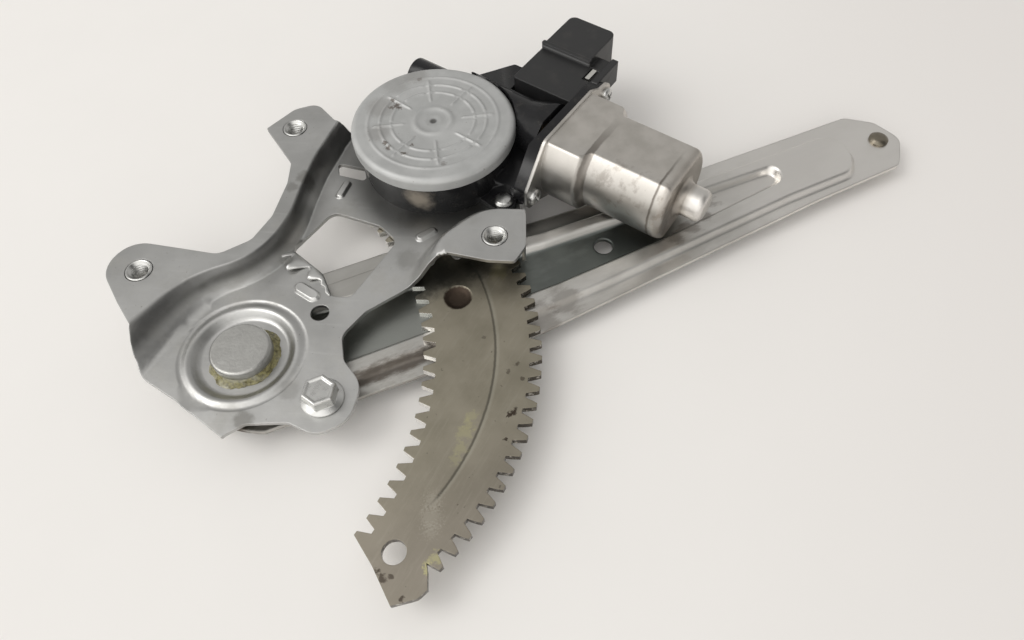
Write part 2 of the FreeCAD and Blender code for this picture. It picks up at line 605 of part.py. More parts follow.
def drive_plate():
    """Steel plate keyed to the shaft; its three dogs sit in the rubber."""
    z0 = WHEEL_Z + 5.6
    plate = tube(15.8, 6.0, z0, z0 + 1.5)
    for k in range(3):
        dog = block(9.3, 14.2, -1.3, 1.3, z0 - 2.4, z0 + 0.5)
        dog.rotate(O, UP, 120 * k)
        plate = plate.fuse(dog)
    return plate.removeSplitter()


def shaft_clip():
    z0 = WHEEL_Z + 7.6
    return tube(7.6, 5.2, z0, z0 + 0.8).cut(block(0, 9, -2.0, 2.0, z0 - 1, z0 + 2))


# --- gear case

def motor_prism(points, z0, z1, radius=1.0):
    """A prism from (s, t) points; t is measured from the motor's axis."""
    shape = prism([(p[0], p[1] + WORM_AWAY) + tuple(p[2:]) for p in points], z0, z1, radius)
    shape.Placement = MOTOR_AT.multiply(shape.Placement)
    return shape


def on_shaft(shape):
    shape.Placement = SHAFT_AT.multiply(shape.Placement)
    return shape


def at_pinion(shape):
    shape.Placement = PINION_AT.multiply(shape.Placement)
    return shape


def flange_outline():
    """Mounting face of the motor in (t, z) round its axis: flattened circle with two diagonal ears."""
    (tx, tz), _ = MOTOR_SCREWS
    return [(tx + 5.0, tz - 5.5, 5.0), (tx + 5.0, tz + 5.5, 5.0), (tx - 4.0, tz + 6.5, 3.0),
            (19.0, CAN_FLAT + 0.8, 4.0), (-20.0, CAN_FLAT + 0.8, 5.0),
            (-tx - 5.0, -tz + 5.5, 5.0), (-tx - 5.0, -tz - 5.5, 5.0), (-tx + 4.0, -tz - 6.5, 3.0),
            (-19.0, -CAN_FLAT - 0.4, 4.0), (20.0, -CAN_FLAT - 0.4, 5.0)]


def across(points, s0, s1, radius=1.0):
    """A prism along the shaft from (t, z) points."""
    shape = prism(points, 0, s1 - s0, radius)
    shape.rotate(O, FreeCAD.Vector(1, 1, 1), 120)
    shape.translate(X * s0)
    return shape


def gear_housing():
    """Moulded case: drum for the wheel, tunnel for the worm, motor flange and three screw lugs."""
    floor = PLATE_Z + 0.4 - AXIS_Z
    tunnel = rod(TUNNEL_R, TIP_S, 40.0).fuse(rod(TIP_R, TUNNEL_END, TIP_S))
    flare = Part.makeCone(TUNNEL_R, 15.5, 14.0, FreeCAD.Vector(30.0, 0, 0), X)
    head = across(grow(flange_outline(), -0.6), HEAD_S, FLANGE_S - FLANGE_T, 2.0)
    keep = block(TUNNEL_END - 1, 60, -60, 60, floor, 14.0)
    body = on_shaft(tunnel.fuse(flare).fuse(head).common(keep))
    body = body.fuse(motor_prism([(-8.0, 6.0), (5.0, 26.7), (13.5, 26.7), (13.5, 0.0)], 22.0, 37.5, 1.5))
    body = body.fuse(motor_prism([(24.0, -34.0), (50.0, -34.0), (50.0, -6.0), (20.0, -6.0)],
                                 PLATE_Z + 0.4, 28.0, 2.0))
    body = body.cut(at_pinion(drum(COVER_R + FREE, CASE_TOP, EAR_Z + 20)))
    case = turned([(0, PLATE_Z), (CASE_R - 0.6, PLATE_Z), (CASE_R + 0.8, CASE_TOP), (COLLAR_R, CASE_TOP),
                   (COLLAR_R, CASE_TOP + COLLAR_H), (0, CASE_TOP + COLLAR_H)])
    body = body.fuse(at_pinion(case))
    for a in CASE_SCREW_DIRS:
        x, y = polar(CASE_SCREW_AT, a, GX, GY)
        lug = prism([polar(5.6, a + 90, x, y), polar(7.5, a + 90, GX, GY), polar(7.5, a - 90, GX, GY),
                     polar(5.6, a - 90, x, y)], PLATE_Z, PLATE_Z + LUG_H, 0.5)
        body = body.fuse(lug).fuse(drum(5.6, PLATE_Z, PLATE_Z + LUG_H, x, y))
    hollow = [at_pinion(drum(CAVITY_R, PLATE_Z + CASE_FLOOR, CASE_TOP + COLLAR_H + 1)),
              at_pinion(drum(OUT_BUSH_R, PLATE_Z - 1, CASE_TOP)),
              at_pinion(drum(PINION_ROOT + 0.4, PLATE_Z - 1, PLATE_Z + 0.4)),
              on_shaft(rod(6.6, -24.0, 42.0)), on_shaft(rod(TIP_BORE_R, TUNNEL_END + 2.0, -23.0)),
              on_shaft(rod(5.5, 41.0, FLANGE_S))]
    hollow += [on_shaft(rod(MOTOR_SCREW_R, HEAD_S + 0.5, FLANGE_S, t, z)) for t, z in MOTOR_SCREWS]
    hollow += [drum(CASE_SCREW_R, PLATE_Z - 1, PLATE_Z + LUG_H + 1, *polar(CASE_SCREW_AT, a, GX, GY))
               for a in CASE_SCREW_DIRS]
    hollow += [drum(4.9, PLATE_Z + LUG_H, CASE_TOP - 1.0, *polar(CASE_SCREW_AT, a, GX, GY))
               for a in CASE_SCREW_DIRS]
    for shape in hollow:
        body = body.cut(shape)
    return body


OUT_BUSH_R = 8.0


def output_bush():
    return tube(OUT_BUSH_R, 6.0 + RUN, PLATE_Z + 0.4, WHEEL_Z - SEAT)


def case_screws():
    screws = []
    z = PLATE_Z + LUG_H
    for a in CASE_SCREW_DIRS:
        x, y = polar(CASE_SCREW_AT, a, GX, GY)
        low = PLATE_Z - PLATE_T - 1.6
        screws.append(turned([(0, low), (CASE_SCREW_R - 0.4, low), (CASE_SCREW_R, low + 0.6), (CASE_SCREW_R, z),
                              (4.4, z), (4.4, z + 1.2), (3.2, z + 2.6), (0, z + 2.8)], x, y))
    return Part.makeCompound(screws)


def cover_seal():
    top = CASE_TOP + COLLAR_H
    return tube(COLLAR_R - FREE, COLLAR_R - FREE - SEAL_W, top, top + SEAL_H)


def gear_cover():
    """Pressed lid with four raised rings, eight radial ribs and a centre boss."""
    z0 = CASE_TOP
    z1 = CASE_TOP + COVER_H
    under = CASE_TOP + COLLAR_H + SEAL_H
    profile = [(COLLAR_R + FREE, z0), (COVER_R - 0.2, z0), (COVER_R, z0 + 0.6), (COVER_R, z1 - 1.8),
               (COVER_R - 0.5, z1 - 0.5), (COVER_R - 1.8, z1)]
    for r, width in COVER_RINGS:
        profile += [(r + width, z1), (r + width - 0.5, z1 + BEAD_H), (r - width + 0.5, z1 + BEAD_H),
                    (r - width, z1)]
    boss = COVER_BOSS_R
    profile += [(boss + 1.4, z1), (boss, z1 + 0.9), (4.2, z1 + 0.9), (2.7, z1 - 0.2), (0, z1 - 0.2),
                (0, under), (COLLAR_R + FREE, under)]
    lid = turned(profile)
    for k in range(8):
        rib = block(COVER_RIB[0], COVER_RIB[1], -0.6, 0.6, z1 - 1.0, z1 + 0.8 * BEAD_H)
        rib.rotate(O, UP, 22.5 + 45 * k)
        lid = lid.fuse(rib)
    relief = on_shaft(rod(WORM_R + WORM_ABOVE + FREE, -WORM_HALF - 3, WORM_HALF + 3))
    return at_pinion(lid.removeSplitter()).cut(relief)


# --- motor

def can_section(r, flat, s):
    """Flattened circle across the shaft at s."""
    w = math.sqrt(r * r - flat * flat)
    p = [FreeCAD.Vector(s, -w, flat), FreeCAD.Vector(s, w, flat), FreeCAD.Vector(s, r, 0),
         FreeCAD.Vector(s, w, -flat), FreeCAD.Vector(s, -w, -flat), FreeCAD.Vector(s, -r, 0)]
    return Part.Wire([Part.LineSegment(p[0], p[1]).toShape(), Part.Arc(p[1], p[2], p[3]).toShape(),
                      Part.LineSegment(p[3], p[4]).toShape(), Part.Arc(p[4], p[5], p[0]).toShape()])


def spun(profile):
    """A solid of revolution about the shaft from (along, radius) points, in the shaft's own frame."""
    pts = [FreeCAD.Vector(a, 0, r) for a, r in profile]
    return Part.Face(Part.makePolygon(pts + pts[:1])).revolve(O, X, 360)


def corner(s, r, radius, wall):
    """Points of a drawn corner that turns from along the shaft to across it; s, r is its sharp corner."""
    bend = radius - wall
    return [(s - radius + bend * math.sin(math.radians(a)), r - radius + bend * math.cos(math.radians(a)))
            for a in (0, 22.5, 45, 67.5, 90)]


def can_body(wall):
    """Outer shape of the drawn can for wall 0, its inside for the wall's thickness."""
    r, wide, boss = CAN_R - wall, CAN_WIDE_R - wall, BOSS_R - wall
    start, end = FLANGE_S - FLANGE_T - (1.0 if wall else 0.0), CAN_END - wall
    barrel = [(start, 0), (start, wide), (CAN_STEP - 2.0, wide), (CAN_STEP - 1.2, wide - 0.4),
              (CAN_STEP + 0.6, r + 0.5), (CAN_STEP + 1.8, r)]
    barrel += corner(CAN_END, CAN_R, CAN_BEND, wall)
    barrel += [(end, boss + BOSS_FOOT), (end + 0.3 * BOSS_FOOT, boss + 0.35 * BOSS_FOOT),
               (end + BOSS_FOOT, boss)]
    barrel += corner(BOSS_END, BOSS_R, BOSS_BEND, wall) + [(BOSS_END - wall, 0)]
    side = [(start, -50.0), (start, CAN_FLAT - wall)] + corner(CAN_END, CAN_FLAT, CAN_BEND, wall)
    side.append((end, -50.0))
    wires = [FreeCAD.Vector(a, -40, h) for a, h in side]
    half = Part.Face(Part.makePolygon(wires + wires[:1])).extrude(FreeCAD.Vector(0, 80, 0))
    other = half.copy()
    other.rotate(O, X, 180)
    slab = half.common(other).fuse(rod(boss + BOSS_FOOT + 0.5, CAN_END - CAN_BEND, BOSS_END + 1))
    return spun(barrel).common(slab)


def motor_can():
    body = can_body(0).fuse(across(flange_outline(), FLANGE_S - FLANGE_T, FLANGE_S, 2.0))
    body = body.cut(can_body(CAN_WALL))
    for t, z in MOTOR_SCREWS:
        body = body.cut(rod(MOTOR_SCREW_R, FLANGE_S - 5, FLANGE_S + 1, t, z))
    return on_shaft(body.removeSplitter())


def motor_screws():
    screws = []
    for t, z in MOTOR_SCREWS:
        screw = rod(MOTOR_SCREW_R, HEAD_S + 1.0, FLANGE_S, t, z)
        head = Part.makeCylinder(4.0, 1.4, FreeCAD.Vector(FLANGE_S, t, z), X)
        dome = Part.makeCone(4.0, 2.8, 1.3, FreeCAD.Vector(FLANGE_S + 1.4, t, z), X)
        screws.append(on_shaft(joined([screw, head, dome])))
    return Part.makeCompound(screws)


def magnets():
    parts = []
    r = CORE_R + AIR_GAP
    ring = rod(CAN_R - CAN_WALL, CORE_S[0] + 3, CORE_S[1]).cut(rod(r, CORE_S[0], CORE_S[1] + 1))
    for side in (-1, 1):
        wedge = prism([(0, 0), (40, 25), (40, -25)], 0, 60, 0.1)
        wedge.rotate(O, FreeCAD.Vector(1, 1, 1), 120)
        if side < 0:
            wedge.rotate(O, X, 180)
        wedge.translate(X * 60)
        parts.append(on_shaft(ring.common(wedge)))
    return Part.makeCompound(parts)


def brush_holder():
    """Moulded card across the can's mouth that guides the two brushes."""
    s0 = FLANGE_S + 2.0
    w = CAN_FLAT - CAN_WALL
    card = Part.Face(can_section(CAN_WIDE_R - CAN_WALL, w, s0)).extrude(X * 2.0)
    card = card.cut(rod(SHAFT_R + 2.0, s0 - 1, s0 + 3))
    for side in (-1, 1):
        guide = block(s0 + 2.0, s0 + 13.0, 9.0, 21.0, -4.4, 4.4)
        guide = guide.cut(block(s0 + 4.0, s0 + 11.0, 8.0, 19.5, -3.2, 3.2))
        if side < 0:
            guide.rotate(O, X, 180)
        card = card.fuse(guide)
    return on_shaft(card.removeSplitter())


def brushes():
    parts = []
    for side in (-1, 1):
        brush = block(FLANGE_S + 6.2, FLANGE_S + 12.8, COMM_R + RUN, 14.5, -3.0, 3.0)
        if side < 0:
            brush.rotate(O, X, 180)
        parts.append(on_shaft(brush))
    return Part.makeCompound(parts)


def brush_springs():
    parts = []
    for side in (-1, 1):
        spring = Part.makeCylinder(2.6, 5.0, FreeCAD.Vector(FLANGE_S + 9.5, 14.5, 0), FreeCAD.Vector(0, 1, 0))
        core = Part.makeCylinder(1.8, 5.0, FreeCAD.Vector(FLANGE_S + 9.5, 14.5, 0), FreeCAD.Vector(0, 1, 0))
        spring = spring.cut(core)
        if side < 0:
            spring.rotate(O, X, 180)
        parts.append(on_shaft(spring))
    return Part.makeCompound(parts)


def armature_shaft():
    """Steel shaft with the single right-hand worm thread cut on it."""
    shaft = rod(SHAFT_R, TUNNEL_END + 3.0, BOSS_END - CAN_WALL - 2.4)
    shaft = shaft.fuse(rod(WORM_R - 1.0, -WORM_HALF - 2, WORM_HALF + 2))
    pitch = math.pi * WORM_M
    turns = int(2 * WORM_HALF / pitch)
    low, high = WORM_R - 1.2, WORM_R + WORM_ABOVE
    helix = Part.makeHelix(pitch, turns * pitch, low)
    wide, thin = 0.34 * pitch, 0.14 * pitch
    pts = [FreeCAD.Vector(low, 0, -wide), FreeCAD.Vector(low, 0, wide), FreeCAD.Vector(high, 0, thin),
           FreeCAD.Vector(high, 0, -thin)]
    profile = Part.makePolygon(pts + pts[:1])
    thread = Part.Wire(helix.Edges).makePipeShell([profile], True, True)
    thread.rotate(O, FreeCAD.Vector(0, 1, 0), 90)
    thread.rotate(O, X, -90)
    thread.translate(X * (-pitch * (turns // 2)))
    return on_shaft(shaft.fuse(thread))


def armature_core():
    """Laminated core with eight slots."""
    core = rod(CORE_R, *CORE_S).cut(rod(SHAFT_R, CORE_S[0] - 1, CORE_S[1] + 1))
    for k in range(8):
        slot = block(CORE_S[0] - 1, CORE_S[1] + 1, -0.9, 0.9, CORE_R - 6.0, CORE_R + 1)
        slot.rotate(O, X, 45 * k)
        core = core.cut(slot)
    return on_shaft(core)


def windings():
    """The two heads of the copper winding, one on each face of the core."""
    parts = []
    for s0, s1 in ((CORE_S[0] - 3.5, CORE_S[0]), (CORE_S[1], CORE_S[1] + 6.0)):
        parts.append(on_shaft(rod(CORE_R - 2.5, s0, s1).cut(rod(SHAFT_R, s0 - 1, s1 + 1))))
    return Part.makeCompound(parts)


def commutator():
    comm = rod(COMM_R, *COMM_S).cut(rod(SHAFT_R, COMM_S[0] - 1, COMM_S[1] + 1))
    for k in range(8):
        slot = block(COMM_S[0] - 1, COMM_S[1] + 1, -0.3, 0.3, COMM_R - 1.0, COMM_R + 1)
        slot.rotate(O, X, 45 * k + 22.5)
        comm = comm.cut(slot)
    return on_shaft(comm)


def shaft_bushes():
    """Bearing sleeves: worm tip, motor mouth and can end."""
    tip = rod(TIP_BORE_R, TUNNEL_END + 4.0, TUNNEL_END + 11.0).cut(rod(SHAFT_R + RUN, -40, -20))
    front = rod(5.5, 43.0, 51.0).cut(rod(SHAFT_R + RUN, 40, 60))
    rear = rod(BOSS_R - CAN_WALL, CAN_END + 3, BOSS_END - BOSS_BEND - FREE).cut(rod(SHAFT_R + RUN, CAN_END, BOSS_END))
    return Part.makeCompound([on_shaft(s) for s in (tip, front, rear)])


def thrust_pad():
    return on_shaft(rod(TIP_BORE_R, TUNNEL_END + 2.0, TUNNEL_END + 3.0 - SEAT))


# --- connector

def plug_block(size, z0, z1, radius, bend=None):
    """A block of the connector from its (along, along, out, out) size; bend rounds its outer corners."""
    s0, s1, t0, t1 = size
    bend = bend or radius
    return motor_prism([(s0, t0), (s0, t1, bend), (s1, t1, bend), (s1, t0)], z0, z1, radius)


def connector_housing():
    """Plug-in brush card body: a flat box beside the motor's mouth and a socket at its outer end."""
    body = plug_block(PLUG_BOX, PLUG_FOOT + 1.0, BOX_Z, 1.5)
    body = body.fuse(plug_block(SOCKET, PLUG_FOOT, SOCKET_Z, 1.2, SOCKET_BEND))
    body = body.fuse(plug_block(SOCKET_COLLAR, PLUG_FOOT, SOCKET_Z + COLLAR_STEP, 0.6))
    body = body.fuse(plug_block(PLUG_SIDE, PLUG_FOOT + 4.0, BOX_Z - 1.4, 0.8))
    body = body.fuse(plug_block(PLUG_RIM, PLUG_FOOT + 4.0, BOX_Z + 1.0, 0.5))
    body = body.cut(plug_block(MOUTH, PLUG_FOOT + PLUG_WALL, SOCKET_Z - PLUG_WALL, 0.8))
    body = body.cut(plug_block(STRIP_SLOT, BOX_Z - 1.2, BOX_Z + 3, 0.3))
    case = on_shaft(rod(TUNNEL_R, TIP_S, 41.0))
    cone = on_shaft(Part.makeCone(TUNNEL_R, 15.5, 14.0, FreeCAD.Vector(30.0, 0, 0), X))
    head = on_shaft(across(grow(flange_outline(), -0.6), HEAD_S, FLANGE_S, 2.0))
    for shape in (case, cone, head):
        body = body.cut(shape)
    return body.removeSplitter()


def connector_terminals():
    parts = []
    w, t0 = 0.5 * BLADE_W, MOUTH[2]
    for k in range(3):
        for z in (0.32, 0.68):
            s = MOUTH[0] + (0.2 + 0.3 * k) * (MOUTH[1] - MOUTH[0])
            mid = PLUG_FOOT + z * (SOCKET_Z - PLUG_FOOT)
            parts.append(plug_block((s - w, s + w, t0, t0 + BLADE_L), mid - w / 2, mid + w / 2, 0.1))
    return Part.makeCompound(parts)


def terminal_strip():
    s0, s1, t0, t1 = STRIP_SLOT
    gap = 0.5 * (s1 - s0 - STRIP_W)
    return plug_block((s0 + gap, s1 - gap, t0 + 1.0, t1 - 1.0), BOX_Z - 1.2, BOX_Z - 1.2 + STRIP_H, 0.4)


def main():
    os.makedirs("parts", exist_ok=True)
    nodes = {
        "base_plate": base_plate(), "ear_nuts": ear_nuts(), "stop_bolt": stop_bolt(),
        "stop_nut": stop_nut(), "pivot_bush": pivot_bush(), "pivot_stud": pivot_stud(),
        "pivot_washer": pivot_washer(), "lift_arm": lift_arm(), "sector_gear": sector_gear(),
        "sector_rivets": sector_rivets(), "roller_stud": roller_stud(), "guide_roller": guide_roller(),
        "output_pinion": at_pinion(output_pinion()), "worm_wheel": worm_wheel(),
        "damper_rubber": at_pinion(damper_rubber()), "drive_plate": at_pinion(drive_plate()),
        "shaft_clip": at_pinion(shaft_clip()), "gear_housing": gear_housing(),
        "output_bush": at_pinion(output_bush()), "case_screws": case_screws(),
        "cover_seal": at_pinion(cover_seal()), "gear_cover": gear_cover(), "motor_can": motor_can(),
        "motor_screws": motor_screws(), "magnets": magnets(), "brush_holder": brush_holder(),
        "brushes": brushes(), "brush_springs": brush_springs(), "armature_shaft": armature_shaft(),
        "armature_core": armature_core(), "windings": windings(), "commutator": commutator(),
        "shaft_bushes": shaft_bushes(), "thrust_pad": thrust_pad(),
        "connector_housing": connector_housing(), "connector_terminals": connector_terminals(),
        "terminal_strip": terminal_strip(),
    }
    for name, shape in nodes.items():
        shape.exportStep("parts/" + name + ".step")
        print(name, len(shape.Solids), round(shape.Volume), shape.isValid())


main()
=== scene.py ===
from math import atan2, cos, exp, pi, radians, sin

import bmesh
import bpy
from mathutils import Matrix, Vector, noise


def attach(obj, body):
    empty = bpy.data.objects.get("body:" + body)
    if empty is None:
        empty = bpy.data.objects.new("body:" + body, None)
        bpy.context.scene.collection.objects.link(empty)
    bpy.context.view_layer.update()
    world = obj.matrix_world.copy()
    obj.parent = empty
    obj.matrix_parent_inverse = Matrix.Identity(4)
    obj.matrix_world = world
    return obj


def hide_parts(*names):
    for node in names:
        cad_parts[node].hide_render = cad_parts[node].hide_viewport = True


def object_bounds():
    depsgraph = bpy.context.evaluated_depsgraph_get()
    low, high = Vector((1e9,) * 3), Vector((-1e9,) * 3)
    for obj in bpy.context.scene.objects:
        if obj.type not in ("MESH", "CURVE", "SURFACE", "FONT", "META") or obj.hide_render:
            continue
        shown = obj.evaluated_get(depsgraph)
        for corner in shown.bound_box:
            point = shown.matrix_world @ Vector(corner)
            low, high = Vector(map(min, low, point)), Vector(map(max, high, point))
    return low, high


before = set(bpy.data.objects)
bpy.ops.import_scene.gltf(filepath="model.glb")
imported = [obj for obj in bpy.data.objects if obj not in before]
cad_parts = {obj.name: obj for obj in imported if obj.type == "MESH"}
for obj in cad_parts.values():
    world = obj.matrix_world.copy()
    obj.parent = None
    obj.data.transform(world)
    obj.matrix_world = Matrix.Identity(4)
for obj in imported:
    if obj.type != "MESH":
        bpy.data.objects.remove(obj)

cad_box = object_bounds()

# Camera. The photograph is taken by hand from above the pivot's side, with a wide phone lens whose middle
# lies a little to the right of the picture's middle.
lens = bpy.data.cameras.new("phone_lens")
lens.lens, lens.sensor_width = 26.25, 36.0
lens.shift_x, lens.shift_y = -0.0352, 0.0038
lens.clip_start = 0.01
camera = bpy.data.objects.new("phone_camera", lens)
right, down = Vector((0.9108, -0.4128, 0.0021)), Vector((-0.3463, -0.7669, -0.5403))
ahead = Vector((0.2246, 0.4914, -0.8415))
camera.matrix_world = Matrix.Translation((0.04851, -0.18911, 0.27774)) @ Matrix(
    (right, -down, -ahead)).transposed().to_4x4()
bpy.context.collection.objects.link(camera)
bpy.context.scene.camera = camera
bpy.context.scene.view_settings.view_transform = "Standard"


# Base plate. One pressing of 1.8 mm zinc plated steel with three ears, a dished seat for the pivot and a
# high rim round its hollow side. Its bends are rounded by the press. A painted highlight lightens the foot of
# the rim's slope, and painted shade darkens its upper band and the plate round the gear case.
class Link:
    """One output of a pattern's node, which takes part in sums like a number."""

    def __init__(self, pattern, socket):
        self.pattern, self.socket = pattern, socket

    def sum(self, operation, *terms):
        return self.pattern.node("ShaderNodeMath", {"operation": operation}, dict(enumerate(terms)))

    def __add__(self, other): return self.sum("ADD", self, other)
    def __radd__(self, other): return self.sum("ADD", other, self)
    def __sub__(self, other): return self.sum("SUBTRACT", self, other)
    def __rsub__(self, other): return self.sum("SUBTRACT", other, self)
    def __mul__(self, other): return self.sum("MULTIPLY", self, other)
    def __rmul__(self, other): return self.sum("MULTIPLY", other, self)
    def __abs__(self): return self.sum("ABSOLUTE", self)


class Pattern:
    """The pattern nodes of one material or of the room. Sizes and places are in millimetres."""

    def __init__(self, tree, place="Object"):
        self.tree = tree
        self.place = self.node("ShaderNodeTexCoord", output=place)

    def node(self, kind, settings=None, inputs=None, output=0):
        made = self.tree.nodes.new(kind)
        for key, value in (settings or {}).items():
            setattr(made, key, value)
        for key, value in (inputs or {}).items():
            if isinstance(value, Link):
                self.tree.links.new(value.socket, made.inputs[key])
            else:
                made.inputs[key].default_value = value
        return Link(self, made.outputs[output])

    def vector(self, operation, one, other, output=0):
        return self.node("ShaderNodeVectorMath", {"operation": operation}, {0: one, 1: other}, output)

    def at(self, stretch=(1, 1, 1), turn=(0, 0, 0), move=(0, 0, 0)):
        """The place on the piece in millimetres, seen from move, turned and then stretched."""
        moved = self.vector("SUBTRACT", self.place, [m / 1000 for m in move])
        turned = self.node("ShaderNodeMapping", None, {"Vector": moved, "Rotation": turn})
        return self.vector("MULTIPLY", turned, [1000 * s for s in stretch])

    def noise(self, size, detail=3.0, rough=0.55, **where):
        return self.node("ShaderNodeTexNoise", None, {
            "Vector": self.at(**where), "Scale": 1.0 / size, "Detail": detail, "Roughness": rough})

    def rise(self, value, low, high):
        """0 below low, 1 above high, smooth between them; the other way round where high is the lower."""
        return self.node("ShaderNodeMapRange", {"interpolation_type": "SMOOTHSTEP"}, {
            "Value": value, "From Min": low, "From Max": high})

    def blend(self, amount, one, other):
        one, other = [(*c, 1) if isinstance(c, tuple) else c for c in (one, other)]
        return self.node("ShaderNodeMix", {"data_type": "RGBA"}, {0: amount, 6: one, 7: other}, 2)

    def far(self, point, flat=True):
        """Distance in millimetres from a point, or from an upright line through it."""
        return self.vector("LENGTH", self.at((1, 1, 0) if flat else (1, 1, 1), move=point), (0, 0, 0), 1)

    def part(self, axis, **where):
        """One coordinate in millimetres."""
        return self.node("ShaderNodeSeparateXYZ", None, {0: self.at(**where)}, "XYZ".index(axis))

    def upright(self):
        """1 on faces that point straight up or down, 0 on walls."""
        facing = self.node("ShaderNodeNewGeometry", output="Normal")
        return abs(self.node("ShaderNodeSeparateXYZ", None, {0: facing}, 2))


class Finish(Pattern):
    """A surface: a Principled shader and the patterns that feed it."""

    def __init__(self, name, colour, rough, metal=0.0, **surface):
        self.material = bpy.data.materials.new(name)
        self.material.use_nodes = True
        super().__init__(self.material.node_tree)
        self.skin = self.tree.nodes["Principled BSDF"]
        for key, value in {"Base Color": (*colour, 1), "Roughness": rough, "Metallic": metal, **surface}.items():
            self.skin.inputs[key.replace("_", " ")].default_value = value

    def feed(self, **links):
        for key, value in links.items():
            self.tree.links.new(value.socket, self.skin.inputs[key.replace("_", " ")])

    def emboss(self, height, size=0.1, edge=0.25):
        """Bumps of the given height field (0 to 1), size millimetres deep, on edges rounded by edge mm."""
        inputs = {"Height": height, "Distance": size / 1000}
        if edge:
            inputs["Normal"] = self.node("ShaderNodeBevel", {"samples": 4}, {"Radius": edge / 1000})
        self.feed(Normal=self.node("ShaderNodeBump", None, inputs))

    def spots(self, metal, places, colour, ragged, rough=5.0):
        """Marks with ragged outlines, one for each (x, y, radius, amount)."""
        for x, y, size, amount in places:
            near = self.rise(self.far((x, y, 0)) + rough * (ragged - 0.5), size, 0.4 * size)
            metal = self.blend(near * amount, metal, colour)
        return metal


def clamp(value, low=0.0, high=1.0):
    return max(low, min(high, value))


def smooth_copy(node, body, slot, finish, bend=38, reshape=None):
    """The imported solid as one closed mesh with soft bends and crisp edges, in its own finish."""
    shell = bmesh.new()
    shell.from_mesh(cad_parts[node].data)
    bmesh.ops.remove_doubles(shell, verts=shell.verts, dist=2e-6)
    bmesh.ops.dissolve_limit(shell, angle_limit=radians(0.6), verts=shell.verts, edges=shell.edges)
    if reshape:
        reshape(shell)
    return placed(shell, node + "_finished", body, slot, finish, bend, node)


def placed(shell, name, body, slot, finish, bend=38, *nodes):
    """A modelled piece, put on its body; slot is not used. It stands for the nodes that are named."""
    mesh = bpy.data.meshes.new(name)
    shell.to_mesh(mesh)
    shell.free()
    for face in mesh.polygons:
        face.use_smooth = True
    mesh.set_sharp_from_angle(angle=radians(bend))
    mesh.materials.append(finish.material)
    piece = bpy.data.objects.new(name, mesh)
    bpy.context.collection.objects.link(piece)
    even = piece.modifiers.new("even_shade", "WEIGHTED_NORMAL")
    even.keep_sharp, even.weight = True, 80
    if nodes:
        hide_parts(*nodes)
    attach(piece, body)
    return piece


def pivot_rings(shell):
    """The pressed rings round the pivot's dish lie a little closer together than their solid, inside the edge."""
    outward, edge_start = Vector((-0.867, -0.498)), 0.0284
    dish_reach, ring_reach = 0.015, 0.0300
    for point in shell.verts:
        reach, edge = point.co.xy.length, point.co.xy.dot(outward)
        if dish_reach < reach < ring_reach:
            share = clamp((edge_start - edge) / 0.0015)
            point.co.xy *= 1 - 0.19 * share * (reach - dish_reach) / reach
        if edge > edge_start:
            point.co.xy += 0.001 * outward


gear_axis = (109.05, 69.62, 0.0)
plate_face, ear_face = 18.6, 30.8
plate_zinc = Finish("satin_zinc", (0.5, 0.5, 0.49), 0.36, 1.0)
wide = plate_zinc.noise(26, 4)
fine = plate_zinc.noise(1.2, 4)
rubs = plate_zinc.noise(2.6, 4, stretch=(0.12, 1.4, 1), turn=(0, 0, 0.5))
dots = plate_zinc.rise(plate_zinc.noise(1.3, 3, move=(0.3, 0.1, 0)), 0.70, 0.76)
dust = plate_zinc.rise(plate_zinc.noise(15, 5, move=(9, 2, 0)), 0.5, 0.72)
ragged = plate_zinc.noise(2.5, 4, move=(4, 1, 0))
metal = plate_zinc.blend(plate_zinc.rise(wide, 0.3, 0.7), (0.46, 0.46, 0.45), (0.56, 0.56, 0.55))
metal = plate_zinc.blend(plate_zinc.rise(rubs, 0.55, 0.8) * 0.25, metal, (0.70, 0.70, 0.69))
metal = plate_zinc.blend(dust * 0.35, metal, (0.36, 0.35, 0.32))
metal = plate_zinc.blend(dots * 0.55, metal, (0.18, 0.16, 0.14))
dirt = ((40.7, 68.2, 4, 0.4), (47.3, 71.9, 5, 0.45), (53.8, 39.7, 4, 0.35), (28.0, 37.0, 4, 0.4),
        (76.0, 18.0, 7, 0.3), (-6.0, -29.6, 5, 0.5), (13.0, -24.0, 6, 0.25), (84.0, 40.0, 8, 0.35))
metal = plate_zinc.spots(metal, dirt, (0.16, 0.15, 0.13), ragged)
height, run = plate_zinc.part("Z"), plate_zinc.part("X")
# Painted shadow: the plate is darkened round the foot of the gear case, where the cover's shadow falls.
case_shadow = plate_zinc.rise(plate_zinc.far(gear_axis), 54.0, 37.0) * plate_zinc.rise(height, 24.0, 20.0)
metal = plate_zinc.blend(case_shadow * 0.8, metal, (0.10, 0.10, 0.095))
# Painted shade: a dark band on the high rim's upper slope, towards the ears.
slope_shade_band = plate_zinc.rise(height, 21.5, 26.5) * plate_zinc.rise(height, ear_face, ear_face - 0.8)
slope_shade_band = slope_shade_band * plate_zinc.rise(run, 64.0, 22.0)
metal = plate_zinc.blend(slope_shade_band * (0.62 + 0.2 * wide), metal, (0.07, 0.07, 0.066))
# Painted highlight: the foot of the rim's slope is lightened.
slope_foot_highlight = plate_zinc.rise(height, plate_face, plate_face + 1.0) * plate_zinc.rise(height, 25.0, 21.0) * (
    plate_zinc.rise(run, 22.0, 38.0) * plate_zinc.rise(run, 66.0, 54.0))
metal = plate_zinc.blend(slope_foot_highlight * 0.6, metal, (0.90, 0.90, 0.88))
plate_zinc.feed(Base_Color=metal, Roughness=0.27 + 0.14 * fine + 0.1 * wide + 0.14 * dust)
plate_zinc.emboss(fine * 0.6 + rubs * 0.4, 0.035, 0.5)
smooth_copy("base_plate", "base", "zinc_plate", plate_zinc, 38, pivot_rings)

